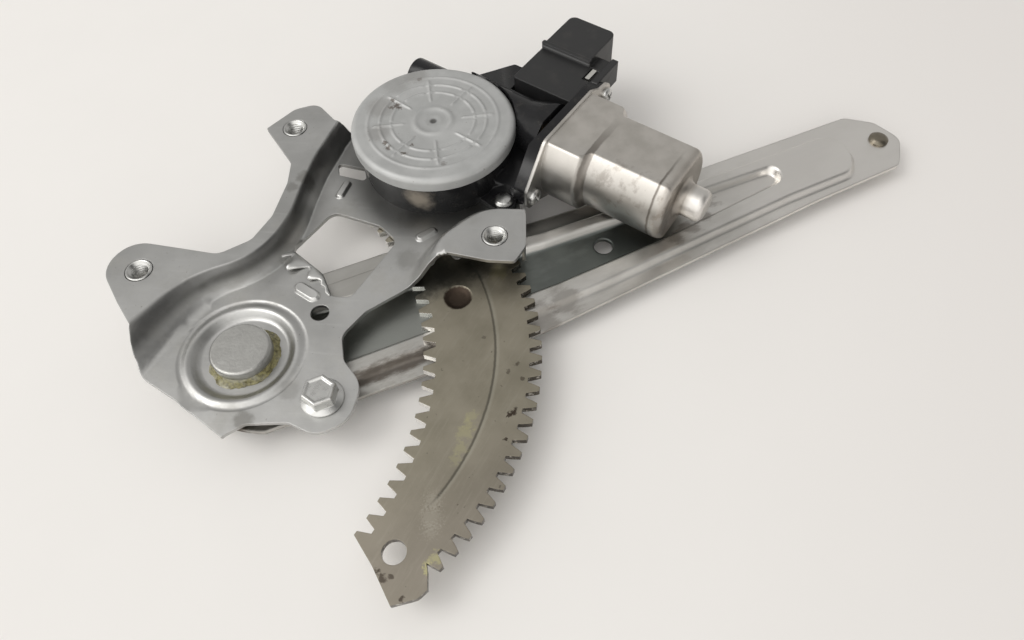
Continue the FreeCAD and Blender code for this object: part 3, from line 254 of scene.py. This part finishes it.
# Torn lip. The window in the plate was broken out after pressing, so its left edge carries two ragged flaps
# of sheet that are bent up and curled towards the pivot.
flaps = bmesh.new()
steps_along = 16
bmesh.ops.create_grid(flaps, x_segments=steps_along, y_segments=4, size=1.0)
edge_line = [(31.3, 43.0), (33.6, 38.2), (35.9, 33.2), (38.0, 28.9), (39.6, 25.2), (39.8, 20.0), (39.8, 13.2)]
heights = [5.5, 1.6, 2.8, 5.6, 6.4, 3.6, 1.4, 1.0, 3.2, 4.2, 4.0, 2.2, 1.2, 1.8, 0.8, 1.2, 0.4]
for point in flaps.verts:
    along, up = (point.co.x + 1) / 2, (point.co.y + 1) / 2
    legs = len(edge_line) - 1
    leg = min(legs - 1, int(along * legs))
    spot = Vector(edge_line[leg]).lerp(Vector(edge_line[leg + 1]), along * legs - leg)
    fold = 1.45 * heights[round(along * steps_along)] * up
    lift = 0.55 * fold * (1.6 - up) + 0.7 * up * noise.noise(Vector((along * 24, up * 2, 0)))
    point.co = Vector((spot.x - 0.88 * fold, spot.y - 0.42 * fold, plate_face - 0.5 + lift)) / 1000
bmesh.ops.recalc_face_normals(flaps, faces=flaps.faces)
torn_lip = placed(flaps, "torn_lip", "base", "zinc_plate", plate_zinc, 60)
wall = torn_lip.modifiers.new("wall", "SOLIDIFY")
wall.thickness, wall.offset = 0.0011, 0.0
torn_lip.modifiers.move(1, 0)


# Lift arm. A long pressing of 2 mm galvanised steel, brighter than the plate, with a trough whose floor is
# painted dark bluish, partly its own tone and partly painted shade in the recess under the motor can. It is
# stained brown along the lower side where grease has dried.
def narrow_root(shell):
    """The flange round the arm's root is narrower on the side away from the sector."""
    ridge_reach, flange_reach = 0.0225, 0.0345
    for point in shell.verts:
        reach = point.co.xy.length
        if ridge_reach < reach < flange_reach and point.co.x < 0.004:
            aside = point.co.xy.dot(Vector((-0.9063, -0.4226))) / reach
            ease = clamp((aside - 0.3) / 0.55)
            point.co.xy *= 1 - 0.5 * ease * ease * (3 - 2 * ease) * (reach - ridge_reach) / reach


arm_zinc = Finish("bright_arm_zinc", (0.5, 0.5, 0.49), 0.28, 1.0)
wide = arm_zinc.noise(18, 4, stretch=(0.5, 1, 1))
fine = arm_zinc.noise(1.2, 4)
streak = arm_zinc.noise(2.2, 4, stretch=(0.07, 1.2, 1))
grime = arm_zinc.noise(4, 6, 0.65, stretch=(0.4, 1, 1))
tip = arm_zinc.rise(arm_zinc.part("X"), 205.0, 265.0)
low_side = arm_zinc.rise(arm_zinc.part("Y"), -14.0, -24.0)
root_end = arm_zinc.rise(arm_zinc.part("X"), 150.0, 70.0)
floor = arm_zinc.rise(arm_zinc.part("Z"), 10.6, 9.4) * arm_zinc.rise(arm_zinc.part("X"), 225.0, 165.0)
floor = floor * arm_zinc.rise(abs(arm_zinc.part("Y") + 3.0), 21.0, 15.0)
metal = arm_zinc.blend(arm_zinc.rise(wide, 0.35, 0.65), (0.58, 0.565, 0.535), (0.72, 0.705, 0.675))
metal = arm_zinc.blend(arm_zinc.rise(streak, 0.5, 0.8) * 0.25, metal, (0.78, 0.765, 0.74))
metal = arm_zinc.blend(tip * 0.75, metal, (0.86, 0.835, 0.80))
# Painted shade with tone: the trough floor is painted dark bluish, lighter in patches and towards the root.
metal = arm_zinc.blend(floor * 0.9, metal, (0.10, 0.118, 0.112))
metal = arm_zinc.blend(arm_zinc.rise(wide, 0.45, 0.66) * floor * 0.5, metal, (0.30, 0.33, 0.31))
metal = arm_zinc.blend(arm_zinc.rise(arm_zinc.part("X"), 112.0, 84.0) * floor * 0.55, metal, (0.42, 0.44, 0.42))
stain = arm_zinc.rise(grime, 0.60, 0.38) * low_side * (0.25 + 0.75 * root_end)
metal = arm_zinc.blend(root_end * 0.4, metal, (0.33, 0.325, 0.30))
metal = arm_zinc.blend(stain * 0.22, metal, (0.14, 0.11, 0.08))
brown_line = arm_zinc.rise(abs(arm_zinc.part("Y") + 26.0) + 5.0 * (grime - 0.5), 4.4, 1.4)
brown_line = brown_line * arm_zinc.rise(arm_zinc.part("X"), 88.0, 66.0)
metal = arm_zinc.blend(brown_line * 0.8, metal, (0.085, 0.066, 0.05))
dirt = ((119, -30, 10, 0.4), (131, -25, 9, 0.35), (200, -12, 7, 0.5), (211, -9, 6, 0.5), (191, -15, 6, 0.4),
        (219, -1, 5, 0.35))
metal = arm_zinc.spots(metal, dirt, (0.10, 0.075, 0.055), grime, 16.0)
arm_zinc.feed(Base_Color=metal, Roughness=0.22 + 0.16 * wide + 0.1 * fine + 0.16 * stain)
arm_zinc.emboss(fine * 0.5 + streak * 0.5, 0.03, 1.1)
smooth_copy("lift_arm", "arm", "zinc_arm", arm_zinc, 50, narrow_root)

# Toothed sector. Stamped from 3 mm steel and oiled, so it is a warm olive grey with dark specks; the side
# away from the pinion keeps the outline of the next blank. Yellow grease has dried along its crease.
sector_steel = Finish("oiled_steel", (0.36, 0.34, 0.29), 0.34, 1.0)
wide = sector_steel.noise(16, 4)
fine = sector_steel.noise(1.0, 4)
lap = sector_steel.noise(1.4, 3, stretch=(1.2, 0.12, 1), turn=(0, 0, 0.9))
dots = sector_steel.rise(sector_steel.noise(2.1, 4, move=(0.2, 0, 0)), 0.69, 0.75)
cut_face = sector_steel.rise(sector_steel.upright(), 0.7, 0.3)
ragged = sector_steel.noise(2.2, 5, 0.65, move=(3, 1, 0))
low_end = sector_steel.rise(sector_steel.part("Y"), -60.0, -108.0)
metal = sector_steel.blend(sector_steel.rise(wide, 0.3, 0.7), (0.30, 0.275, 0.215), (0.36, 0.33, 0.265))
metal = sector_steel.blend(low_end * 0.6, metal, (0.28, 0.25, 0.215))
metal = sector_steel.blend(sector_steel.rise(lap, 0.5, 0.8) * 0.15, metal, (0.52, 0.49, 0.42))
metal = sector_steel.blend(dots * 0.6, metal, (0.11, 0.09, 0.07))
reach = sector_steel.far((0, 0, 0)) + 0.5 * (ragged - 0.5)
across = sector_steel.part("Y")
crease_run = sector_steel.rise(across, 8.0, -2.0) * sector_steel.rise(across, -91.0, -86.0)
# Painted shade and highlight: a dark line along the crease with a lighter strip beside it.
crease_shade = sector_steel.rise(reach, 100.6, 101.2) * sector_steel.rise(reach, 102.2, 101.6) * crease_run
metal = sector_steel.blend(crease_shade * 0.7, metal, (0.085, 0.08, 0.065))
crease_highlight = sector_steel.rise(reach, 101.4, 102.0) * sector_steel.rise(reach, 103.6, 102.4) * crease_run
metal = sector_steel.blend(crease_highlight * 0.2, metal, (0.60, 0.58, 0.50))
rust = ((89.9, -67.6, 1.9, 0.95), (87.4, -68.3, 1.0, 0.9), (98.3, -56.0, 1.0, 0.6), (99.2, -48.5, 1.1, 0.6),
        (94.9, -50.5, 0.9, 0.5), (91.7, -31.4, 1.2, 0.4), (82, -77.2, 0.7, 0.9), (22.6, -103.6, 1.6, 0.85),
        (24.2, -107.0, 1.8, 0.75), (27.0, -107.5, 1.4, 0.7), (28.1, -116.3, 1.1, 0.8))
metal = sector_steel.spots(metal, rust, (0.06, 0.045, 0.035), ragged, 6.0)
# Painted shadow and painted reflection: dark patches on the sector's top where it lies under the base plate.
plate_shade_spots = ((80.0, 9.0, 17, 0.85), (93.0, 6.0, 14, 0.7), (104.0, 4.0, 10, 0.5), (70.0, 2.0, 12, 0.7))
metal = sector_steel.spots(metal, plate_shade_spots, (0.06, 0.06, 0.052), ragged, 8.0)
dried = ((74.2, -62.9, 3.0, 0.32), (69.2, -68.0, 3.6, 0.36), (65.4, -73.2, 3.4, 0.32), (71.8, -65.5, 3.0, 0.32),
         (62.0, -77.0, 2.6, 0.24), (39.3, -109.9, 2.4, 0.85), (43.6, -107.9, 2.6, 0.6), (110.0, -3.0, 5.0, 0.3))
metal = sector_steel.spots(metal, dried, (0.52, 0.49, 0.27), ragged, 9.0)
light_patches = ((48.9, -88.4, 4.0, 0.16), (46.5, -94.0, 5.0, 0.16), (44.8, -98.2, 3.5, 0.14))
metal = sector_steel.spots(metal, light_patches, (0.60, 0.57, 0.50), sector_steel.noise(0.8, 5), 14.0)
weld = sector_steel.rise(sector_steel.far((88.9, -8.2, 0)) + 1.8 * (ragged - 0.5), 6.6, 5.4)
metal = sector_steel.blend(weld * 0.92, metal, (0.05, 0.034, 0.026))
# Painted light: the cut walls are near white on the inner side, and dark with light glints on the outer teeth and
# the low end.
cut_glints_and_shade = sector_steel.blend(sector_steel.rise(ragged, 0.52, 0.66), (0.07, 0.06, 0.048), (0.62, 0.59, 0.54))
shaded_cut_side = sector_steel.rise(reach, 100.0, 106.0) + sector_steel.rise(across, -90.0, -97.0)
cut_face_light = sector_steel.blend(shaded_cut_side, (0.95, 0.94, 0.92), cut_glints_and_shade)
metal = sector_steel.blend(cut_face * 0.9, metal, cut_face_light)
sector_steel.feed(Base_Color=metal, Roughness=0.30 + 0.12 * wide + 0.1 * fine - 0.14 * cut_face + 0.2 * weld)
sector_steel.emboss(fine * 0.7 + lap * 0.3, 0.03, 0.3)
smooth_copy("sector_gear", "arm", "oiled_steel", sector_steel, 20)

# Gear case. Glass filled nylon, moulded black and glossy, with a tunnel for the worm at its far side. It is
# dusty, and a painted tan reflection lies on the side towards the pivot.
case_nylon = Finish("glossy_black_nylon", (0.013, 0.013, 0.014), 0.22, Specular_IOR_Level=0.28)
dust = case_nylon.noise(5, 5)
fine = case_nylon.noise(0.6, 3)
# Painted reflection: a broad tan patch on the wall towards the pivot.
light_patches = case_nylon.rise(case_nylon.far((89.0, 38.5, 29.0), flat=False) + 8.0 * (dust - 0.5), 9.0, 2.0)
skin = case_nylon.blend(case_nylon.rise(dust, 0.5, 0.8) * 0.15, (0.012, 0.012, 0.013), (0.09, 0.082, 0.07))
skin = case_nylon.blend(light_patches * 0.9, skin, (0.26, 0.23, 0.19))
case_nylon.feed(Base_Color=skin, Roughness=0.14 + 0.2 * dust + 0.15 * light_patches)
case_nylon.emboss(fine * 0.5 + dust * 0.5, 0.05, 0.5)
smooth_copy("gear_housing", "base", "case_plastic", case_nylon)


# Gear cover. A drawn lid of coated steel, pale matt grey. A raised ring, two rings broken by eight short ribs
# and a centre boss stiffen it; its top is one fine sheet of rings that the pressing pushes up.
def turned(outline, steps=64, at=(0, 0)):
    """An outline of (radius, height) points in millimetres, spun about the upright through at."""
    shell = bmesh.new()
    ring = [shell.verts.new((r / 1000, 0, z / 1000)) for r, z in outline]
    pairs = list(zip(ring, ring[1:])) + ([(ring[-1], ring[0])] if outline[0][0] else [])
    edges = [shell.edges.new(pair) for pair in pairs]
    bmesh.ops.spin(shell, geom=ring + edges, axis=(0, 0, 1), angle=2 * pi, steps=steps, use_merge=True)
    bmesh.ops.remove_doubles(shell, verts=shell.verts, dist=1e-6)
    bmesh.ops.recalc_face_normals(shell, faces=shell.faces)
    bmesh.ops.translate(shell, verts=shell.verts, vec=(at[0] / 1000, at[1] / 1000, 0))
    return shell


gear_middle = Vector(gear_axis[:2]) / 1000
cover_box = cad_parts["gear_cover"].bound_box
lid_low, lid_top, lid_reach = 1000 * cover_box[0][2], 1000 * cover_box[1][2] - 0.7, 37.4
outline = [(0, lid_top)] + [(0.36 * k, lid_top) for k in range(1, 98)]
outline += [(35.6, lid_top - 0.12), (36.3, lid_top - 0.5), (36.9, lid_top - 1.0), (37.25, lid_top - 1.7),
            (lid_reach, lid_top - 2.4), (lid_reach, lid_low + 0.5), (37.1, lid_low), (36.2, lid_low),
            (36.1, lid_low + 0.5), (36.1, lid_top - 2.4), (34.9, lid_top - 1.6), (0, lid_top - 1.6)]
shell = turned(outline, 360, gear_axis)
for point in shell.verts:
    if point.co.z * 1000 < lid_top - 0.05:
        continue
    spoke = point.co.xy - gear_middle
    r, turn = 1000 * spoke.length, atan2(spoke.y, spoke.x)
    from_rib = abs((turn - radians(30) + pi / 8) % (pi / 4) - pi / 8) * r
    push = 0.42 * exp(-((r - 29.6) / 0.75) ** 2)
    broken = 1 - 0.85 * exp(-((from_rib - 1.9) / 0.8) ** 2)
    for ring_reach in (19.0, 24.2):
        wobble = 0.5 + 0.5 * noise.noise(Vector((cos(turn) * 3, sin(turn) * 3, ring_reach)))
        push = max(push, (0.46 + 0.2 * wobble) * broken * exp(-((r - ring_reach) / 0.62) ** 2))
    ends = 1 / (1 + exp((13.2 - r) / 0.35)) / (1 + exp((r - 27.4) / 0.35))
    push = max(push, 0.6 * ends * exp(-(from_rib / 0.62) ** 2))
    push = max(push, 0.62 * exp(-((r - 8.3) / 1.35) ** 2))
    push += 0.10 * exp(-((r - 3.6) / 0.8) ** 2) - 0.5 * exp(-(r / 1.7) ** 2)
    point.co.z += push / 1000
lid_paint = Finish("matt_lid_coating", (0.50, 0.51, 0.50), 0.5, 0.35)
wide = lid_paint.noise(12, 4)
fine = lid_paint.noise(0.9, 4)
specks = lid_paint.rise(lid_paint.noise(1.5, 3, move=(0.1, 0.2, 0)), 0.68, 0.75)
metal = lid_paint.blend(lid_paint.rise(wide, 0.3, 0.7), (0.40, 0.405, 0.40), (0.47, 0.475, 0.47))
metal = lid_paint.blend(specks * 0.5, metal, (0.16, 0.14, 0.12))
dirt = ((96.4, 89.6, 1.4, 0.8), (97.1, 86.0, 2.0, 0.9), (94.5, 85.7, 1.6, 0.8), (97.5, 84.0, 1.6, 0.8),
        (84.8, 64.7, 1.6, 0.9), (85.2, 61.4, 1.8, 0.85), (90.5, 55.2, 1.6, 0.9), (95.3, 59.1, 1.0, 0.8),
        (112.5, 98.9, 1.6, 0.5), (104.1, 42.3, 1.6, 0.5), (90.0, 88.0, 9.0, 0.3), (84.0, 72.0, 7.0, 0.25),
        (101.0, 100.0, 9.0, 0.2), (112.0, 103.0, 8.0, 0.3))
metal = lid_paint.spots(metal, dirt, (0.12, 0.10, 0.085), fine, 4.0)
# Painted shade: the hole in the centre boss is painted near black over a shallow dimple.
boss_hole_shade = lid_paint.rise(lid_paint.far(gear_axis), 2.2, 0.9)
metal = lid_paint.blend(boss_hole_shade * 0.85, metal, (0.05, 0.048, 0.045))
lid_paint.feed(Base_Color=metal, Roughness=0.40 + 0.16 * wide)
lid_paint.emboss(fine, 0.03, 0)
placed(shell, "pressed_cover", "base", "cover_metal", lid_paint, 50, "gear_cover")

# Motor can. Deep drawn and plated, warm grey, with a flange that two screws hold to the case. Its near side
# is smeared with old grease and its end is stained brown round the shaft's boss.
can_plate = Finish("worn_can_plating", (0.42, 0.40, 0.37), 0.36, 1.0)
shaft_turn, shaft_foot = (0, 0, radians(57.7)), (*gear_axis[:2], 31.5)
along = can_plate.part("X", turn=shaft_turn, move=shaft_foot)
aside = can_plate.part("Y", turn=shaft_turn, move=shaft_foot) - 31.0
wide = can_plate.noise(10, 5)
fine = can_plate.noise(0.9, 4)
grime = can_plate.noise(5, 6, 0.65)
metal = can_plate.blend(can_plate.rise(wide, 0.3, 0.7), (0.53, 0.505, 0.465), (0.64, 0.61, 0.57))
near_side = can_plate.rise(aside, -6.0, -16.0)
metal = can_plate.blend(near_side * 0.25, metal, (0.62, 0.605, 0.58))
# Painted shade: the lower part of the can's near side is darkened.
low_side = can_plate.rise(can_plate.part("Z"), 46.0, 24.0) * near_side
metal = can_plate.blend(low_side * 0.8, metal, (0.20, 0.203, 0.20))
smears = can_plate.rise(grime, 0.48, 0.68) * near_side * can_plate.rise(along, 70.0, 84.0)
metal = can_plate.blend(smears * 0.5, metal, (0.22, 0.19, 0.16))
# Painted shade with grime: dark wavy lines in the step, in the crease at the end's shoulder and round the boss's
# foot.
for start, stop, waver, amount in ((71.0, 75.0, 1.6, 0.62), (105.8, 107.6, 1.2, 0.75), (112.0, 116.5, 2.2, 0.5)):
    wavy = along + waver * (grime - 0.5)
    crease_shade_and_grime = can_plate.rise(wavy, start, start + 0.7) * can_plate.rise(wavy, stop, stop - 0.9)
    metal = can_plate.blend(crease_shade_and_grime * can_plate.rise(aside, 12.0, -14.0) * amount, metal, (0.10, 0.082, 0.066))
end_stain = can_plate.rise(along + 5.0 * grime, 110.5, 113.0) * can_plate.rise(along, 119.0, 115.0)
metal = can_plate.blend(end_stain * 0.22, metal, (0.26, 0.215, 0.17))
# Lighter metal on the boss's end, partly its shine and partly painted highlight.
metal = can_plate.blend(can_plate.rise(along, 116.0, 119.0) * 0.8, metal, (0.74, 0.72, 0.69))
can_plate.feed(Base_Color=metal, Roughness=0.28 + 0.14 * wide + 0.12 * grime)
can_plate.emboss(fine * 0.4 + wide * 0.6, 0.06, 0.9)
smooth_copy("motor_can", "base", "can_metal", can_plate, 44)

# Connector. Charcoal plastic, duller than the gear case, with soft moulded corners.
plug_black = Finish("charcoal_plug", (0.018, 0.018, 0.0185), 0.42)
fine, dust = plug_black.noise(0.6, 3), plug_black.noise(7, 5)
plug_black.feed(Base_Color=plug_black.blend(plug_black.rise(dust, 0.5, 0.8) * 0.3, (0.015, 0.015, 0.0155),
                                            (0.06, 0.055, 0.05)), Roughness=0.28 + 0.2 * dust)
plug_black.emboss(fine, 0.04, 0.9)
smooth_copy("connector_housing", "base", "plug_plastic", plug_black)

# Terminal strip. A short blade of bare tinned brass that shows in its slot in the connector's top.
strip_tin = Finish("tinned_strip", (0.75, 0.74, 0.70), 0.25, 1.0)
strip_tin.feed(Roughness=0.18 + 0.2 * strip_tin.noise(1.0, 3))
smooth_copy("terminal_strip", "base", "copper", strip_tin)

# Pivot. The stud is forged; its round head sits in the plate's dish, swaged down over the bush. Its face
# keeps the scale of the forging.
bright_zinc = Finish("bright_zinc", (0.6, 0.6, 0.58), 0.25, 1.0)
wide, fine = bright_zinc.noise(3, 4), bright_zinc.noise(0.6, 3)
bright_zinc.feed(Base_Color=bright_zinc.blend(wide, (0.50, 0.50, 0.49), (0.72, 0.72, 0.70)),
                 Roughness=0.18 + 0.22 * wide)
bright_zinc.emboss(fine, 0.02, 0.3)
forged = Finish("forged_head", (0.55, 0.55, 0.54), 0.4, 1.0)
pits, wide = forged.noise(1.0, 5), forged.noise(4, 4)
forged.feed(Base_Color=forged.blend(wide, (0.38, 0.375, 0.36), (0.53, 0.53, 0.51)), Roughness=0.3 + 0.2 * pits)
forged.emboss(pits * 0.6 + wide * 0.4, 0.12, 0.9)
smooth_copy("pivot_stud", "arm", "bright_zinc", forged)
for node in ("pivot_washer", "sector_rivets"):
    smooth_copy(node, "arm", "bright_zinc", bright_zinc)
browned = Finish("browned_stud", (0.3, 0.27, 0.22), 0.3, 1.0)
wide = browned.noise(2, 4)
browned.feed(Base_Color=browned.blend(wide, (0.17, 0.15, 0.115), (0.30, 0.27, 0.22)), Roughness=0.22 + 0.2 * wide)
browned.emboss(wide, 0.04, 0.4)
smooth_copy("roller_stud", "arm", "bright_zinc", browned)

# Pivot grease. Old yellow grease squeezed out round the head, thicker below and to the right of it.
grease = Finish("old_grease", (0.42, 0.36, 0.10), 0.22)
lumps, wide = grease.noise(1.3, 4), grease.noise(5, 3, move=(3, 0, 0))
colour = grease.blend(grease.rise(lumps, 0.3, 0.7), (0.10, 0.088, 0.04), (0.29, 0.265, 0.12))
grease.feed(Base_Color=grease.blend(grease.rise(wide, 0.45, 0.65) * 0.5, colour, (0.40, 0.39, 0.31)),
            Roughness=0.08 + 0.25 * lumps)
grease.emboss(lumps, 0.2, 0)
shell = turned([(12.0, 15.7), (12.0, 18.6), (12.5, 18.4), (13.1, 17.7), (13.9, 16.9), (14.8, 16.3), (15.7, 15.9),
                (16.4, 15.7)], 160)
for point in shell.verts:
    around = abs(point.co.xy.angle_signed(Vector((-0.30, 0.95)), 0.0))
    lump = 0.4 * noise.noise(point.co * 150) + 0.12 * noise.noise(point.co * 520)
    thick = clamp(0.16 + 0.34 * min(1.0, around / 1.5) ** 2 + lump, 0.08, 0.72)
    reach = point.co.xy.length
    point.co.z = 0.0156 + (point.co.z - 0.0156) * (0.45 + 0.55 * thick)
    point.co.xy = point.co.xy.normalized() * (0.01205 + (reach - 0.0120) * thick)
placed(shell, "pivot_grease", "base", "soft_rubber", grease, 60)

# Ear nuts. Round clinch nuts, zinc plated, whose collars stand in the holes in the ears. They are turned with
# their M8 threads, which show inside.
for letter, spot in zip("abc", ((-28.3, 48.5), (50.9, 104.6), (112.2, 5.2))):
    outline = [(3.75, 21.3), (7.2, 21.3), (7.6, 21.7), (7.6, 28.8), (5.42, 28.8), (5.42, 30.7), (5.1, 31.0),
               (4.75, 31.0), (4.45, 30.75), (4.2, 30.2)]
    for turn in range(7):
        outline += [(3.45, 29.7 - 1.25 * turn), (3.98, 29.1 - 1.25 * turn)]
    placed(turned(outline, 48, spot), "ear_nut_" + letter, "base", "bright_zinc", bright_zinc, 40)
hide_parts("ear_nuts")

# Stop bolt. An M8 flange bolt, cold headed with a shallow dish in its hexagon, and its weld nut below.
outline = [(0, 9.6), (3.4, 9.6), (4.0, 10.2), (4.0, 18.6), (8.2, 18.6), (8.5, 18.9), (8.5, 19.5), (8.2, 19.8),
           (6.4, 20.8), (0, 20.8)]
shell = turned(outline, 48)
hexagon = bmesh.ops.create_circle(shell, cap_ends=True, segments=6, radius=0.0120 / 3 ** 0.5)["verts"]
bmesh.ops.rotate(shell, verts=hexagon, matrix=Matrix.Rotation(radians(30), 3, "Z"))
bmesh.ops.translate(shell, verts=hexagon, vec=(0, 0, 0.0204))
top = hexagon[0].link_faces[0]
raised = bmesh.ops.extrude_face_region(shell, geom=[top])["geom"]
top = [f for f in raised if isinstance(f, bmesh.types.BMFace)][0]
bmesh.ops.translate(shell, verts=top.verts, vec=(0, 0, 0.0048))
for inward, lift in ((0.0005, 0.0008), (0.0010, 0.0), (0.0005, -0.0006)):
    bmesh.ops.inset_region(shell, faces=[top], thickness=inward)
    bmesh.ops.translate(shell, verts=top.verts, vec=(0, 0, lift))
bmesh.ops.recalc_face_normals(shell, faces=shell.faces)
bmesh.ops.translate(shell, verts=shell.verts, vec=(0.024, -0.033, 0))
bolt = placed(shell, "flange_bolt", "base", "bright_zinc", bright_zinc, 30, "stop_bolt")
soft = bolt.modifiers.new("rounded", "BEVEL")
soft.width, soft.segments, soft.limit_method, soft.angle_limit = 0.0003, 2, "ANGLE", radians(28)
bolt.modifiers.move(1, 0)
smooth_copy("stop_nut", "base", "bright_zinc", bright_zinc)


# Screws. Zinc plated pan heads: two, turned here with their cross recesses cut in, hold the motor, and three
# hold the case.
def pan_screw(radius, height, shank, length):
    """A pan head screw that stands upright on its seat at the origin."""
    outline = [(0, -length), (shank - 0.4, -length), (shank, 0.5 - length), (shank, 0), (radius, 0)]
    outline += [(radius * cos(a) ** 0.6, height * (0.35 + 0.65 * sin(a))) for a in (0, 0.25, 0.55, 0.9, 1.2, 1.4)]
    shell = turned(outline + [(0, height)], 40)
    mesh = bpy.data.meshes.new("screw")
    shell.to_mesh(mesh)
    screw = bpy.data.objects.new("screw", mesh)
    cross = bmesh.new()
    for turn in (0, pi / 2):
        slot = bmesh.ops.create_cube(cross, size=1.0)["verts"]
        bmesh.ops.scale(cross, verts=slot, vec=(1.25 * radius / 1000, 0.26 * radius / 1000, 0.0026))
        bmesh.ops.translate(cross, verts=slot, vec=(0, 0, height / 1000 + 0.0001))
        bmesh.ops.rotate(cross, verts=slot, matrix=Matrix.Rotation(turn, 3, "Z"))
    cutter_mesh = bpy.data.meshes.new("recess")
    cross.to_mesh(cutter_mesh)
    cutter = bpy.data.objects.new("recess", cutter_mesh)
    for thing in (screw, cutter):
        bpy.context.collection.objects.link(thing)
    cut = screw.modifiers.new("recess", "BOOLEAN")
    cut.operation, cut.object, cut.solver = "DIFFERENCE", cutter, "EXACT"
    cut.use_self = True
    made = bpy.data.meshes.new_from_object(screw.evaluated_get(bpy.context.evaluated_depsgraph_get()))
    bpy.data.objects.remove(screw)
    bpy.data.objects.remove(cutter)
    shell.clear()
    shell.from_mesh(made)
    cross.free()
    return shell


away, along = Vector((0.845262, 0.534352, 0)), Vector((0.534352, -0.845262, 0))
for letter, (aside, lift) in zip("ab", ((0.0305, 0.007), (-0.0305, -0.007))):
    shell = pan_screw(4.0, 2.7, 2.0, 6.4)
    bmesh.ops.rotate(shell, verts=shell.verts, matrix=Matrix.Rotation(0.5, 3, "Z"))
    seat = gear_middle.to_3d() + along * 0.054 + away * (0.031 + aside) + Vector((0, 0, 0.0315 + lift))
    bmesh.ops.transform(shell, verts=shell.verts, matrix=Matrix.Translation(seat) @ along.to_track_quat(
        "Z", "Y").to_matrix().to_4x4())
    placed(shell, "motor_screw_" + letter, "base", "bright_zinc", bright_zinc, 40)
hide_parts("motor_screws")
smooth_copy("case_screws", "base", "bright_zinc", bright_zinc)


# Working parts. The roller, the pinion and all that runs inside the case and the motor keep their solids,
# each in the finish of its real material, from oiled steel to sintered bronze and copper wire.
def plain_part(name, one, other, rough, metal, size, *nodes):
    """Gives CAD pieces a mottled finish of their own material."""
    finish = Finish(name, one, rough, metal)
    mottle, fine = finish.noise(size, 4), finish.noise(0.3 * size, 3)
    finish.feed(Base_Color=finish.blend(mottle, one, other), Roughness=rough - 0.06 + 0.16 * fine)
    finish.emboss(fine, 0.03, 0.2)
    for node in nodes:
        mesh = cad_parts[node].data
        mesh.materials.clear()
        mesh.materials.append(finish.material)


plain_part("roller_nylon", (0.70, 0.68, 0.60), (0.78, 0.76, 0.70), 0.4, 0.0, 4, "guide_roller")
plain_part("wheel_acetal", (0.62, 0.60, 0.52), (0.72, 0.70, 0.62), 0.35, 0.0, 4, "worm_wheel", "thrust_pad",
           "brush_holder")
plain_part("gear_steel", (0.44, 0.43, 0.42), (0.58, 0.57, 0.55), 0.3, 1.0, 2, "output_pinion", "drive_plate",
           "shaft_clip", "armature_shaft", "brush_springs")
plain_part("core_iron", (0.22, 0.22, 0.23), (0.34, 0.33, 0.32), 0.45, 1.0, 1.2, "armature_core")
plain_part("sintered_bronze", (0.42, 0.29, 0.14), (0.56, 0.40, 0.21), 0.42, 1.0, 0.8, "pivot_bush", "output_bush",
           "shaft_bushes")
plain_part("copper_wire", (0.56, 0.22, 0.10), (0.70, 0.32, 0.16), 0.3, 1.0, 0.6, "windings", "commutator",
           "connector_terminals")
plain_part("black_rubber", (0.016, 0.016, 0.016), (0.04, 0.038, 0.035), 0.62, 0.0, 2, "damper_rubber", "cover_seal")
plain_part("dark_ferrite", (0.045, 0.045, 0.05), (0.085, 0.08, 0.08), 0.5, 0.0, 1.0, "magnets")
plain_part("brush_carbon", (0.025, 0.025, 0.025), (0.055, 0.05, 0.05), 0.55, 0.2, 0.6, "brushes")

# Floor and light. The part lies on a plain off-white table in a pale room, lit by windows to the left and
# behind the camera and by a ceiling light, so the shadows are soft and fall to the lower right.
table_top = Finish("off_white_table", (0.80, 0.78, 0.75), 0.8)
grain = table_top.noise(60, 3)
colour = table_top.blend(grain, (0.84, 0.822, 0.80), (0.87, 0.852, 0.83))
# Painted shade: the table darkens towards the right.
table_shade = table_top.rise(table_top.part("X", turn=(0, 0, 0.42)), 120.0, 420.0)
table_top.feed(Base_Color=table_top.blend(table_shade, colour, (0.79, 0.765, 0.745)))
sheet = bmesh.new()
bmesh.ops.create_grid(sheet, x_segments=1, y_segments=1, size=4.0)
bmesh.ops.translate(sheet, verts=sheet.verts, vec=(0, 0, cad_box[0][2] - 0.0002))
table_mesh = bpy.data.meshes.new("table")
sheet.to_mesh(table_mesh)
sheet.free()
table_mesh.materials.append(table_top.material)
table = bpy.data.objects.new("table", table_mesh)
bpy.context.collection.objects.link(table)

world = bpy.data.worlds.new("room")
bpy.context.scene.world = world
world.use_nodes = True
room = Pattern(world.node_tree, "Generated")
bright = 0.36
for towards, low, high, amount in (((-0.744, -0.446, 0.497), 0.2, 0.9, 0.64), ((-0.35, -0.9, 0.26), 0.4, 0.95, 0.30),
                                   ((0.36, -0.62, 0.70), 0.7, 0.95, -0.30)):
    bright = bright + amount * room.rise(room.vector("DOT_PRODUCT", room.place, towards, 1), low, high)
sky = world.node_tree.nodes["Background"].inputs
colour = room.blend(bright, (0, 0, 0), (1.0, 0.985, 0.96))
backdrop = room.blend(room.node("ShaderNodeLightPath", output="Is Camera Ray"), colour, (0.50, 0.49, 0.475))
world.node_tree.links.new(backdrop.socket, sky["Color"])
sky["Strength"].default_value = 1.45
lamp = bpy.data.lights.new("ceiling_light", "AREA")
lamp.shape, lamp.size, lamp.energy, lamp.color = "SQUARE", 0.9, 9.0, (1.0, 0.985, 0.96)
holder = bpy.data.objects.new("ceiling_light", lamp)
lamp_spot, lit_spot = Vector((-1.10, 0.30, 1.56)), Vector((0.13, 0.04, 0))
holder.matrix_world = Matrix.Translation(lamp_spot) @ (lamp_spot - lit_spot).to_track_quat(
    "Z", "Y").to_matrix().to_4x4()
bpy.context.collection.objects.link(holder)
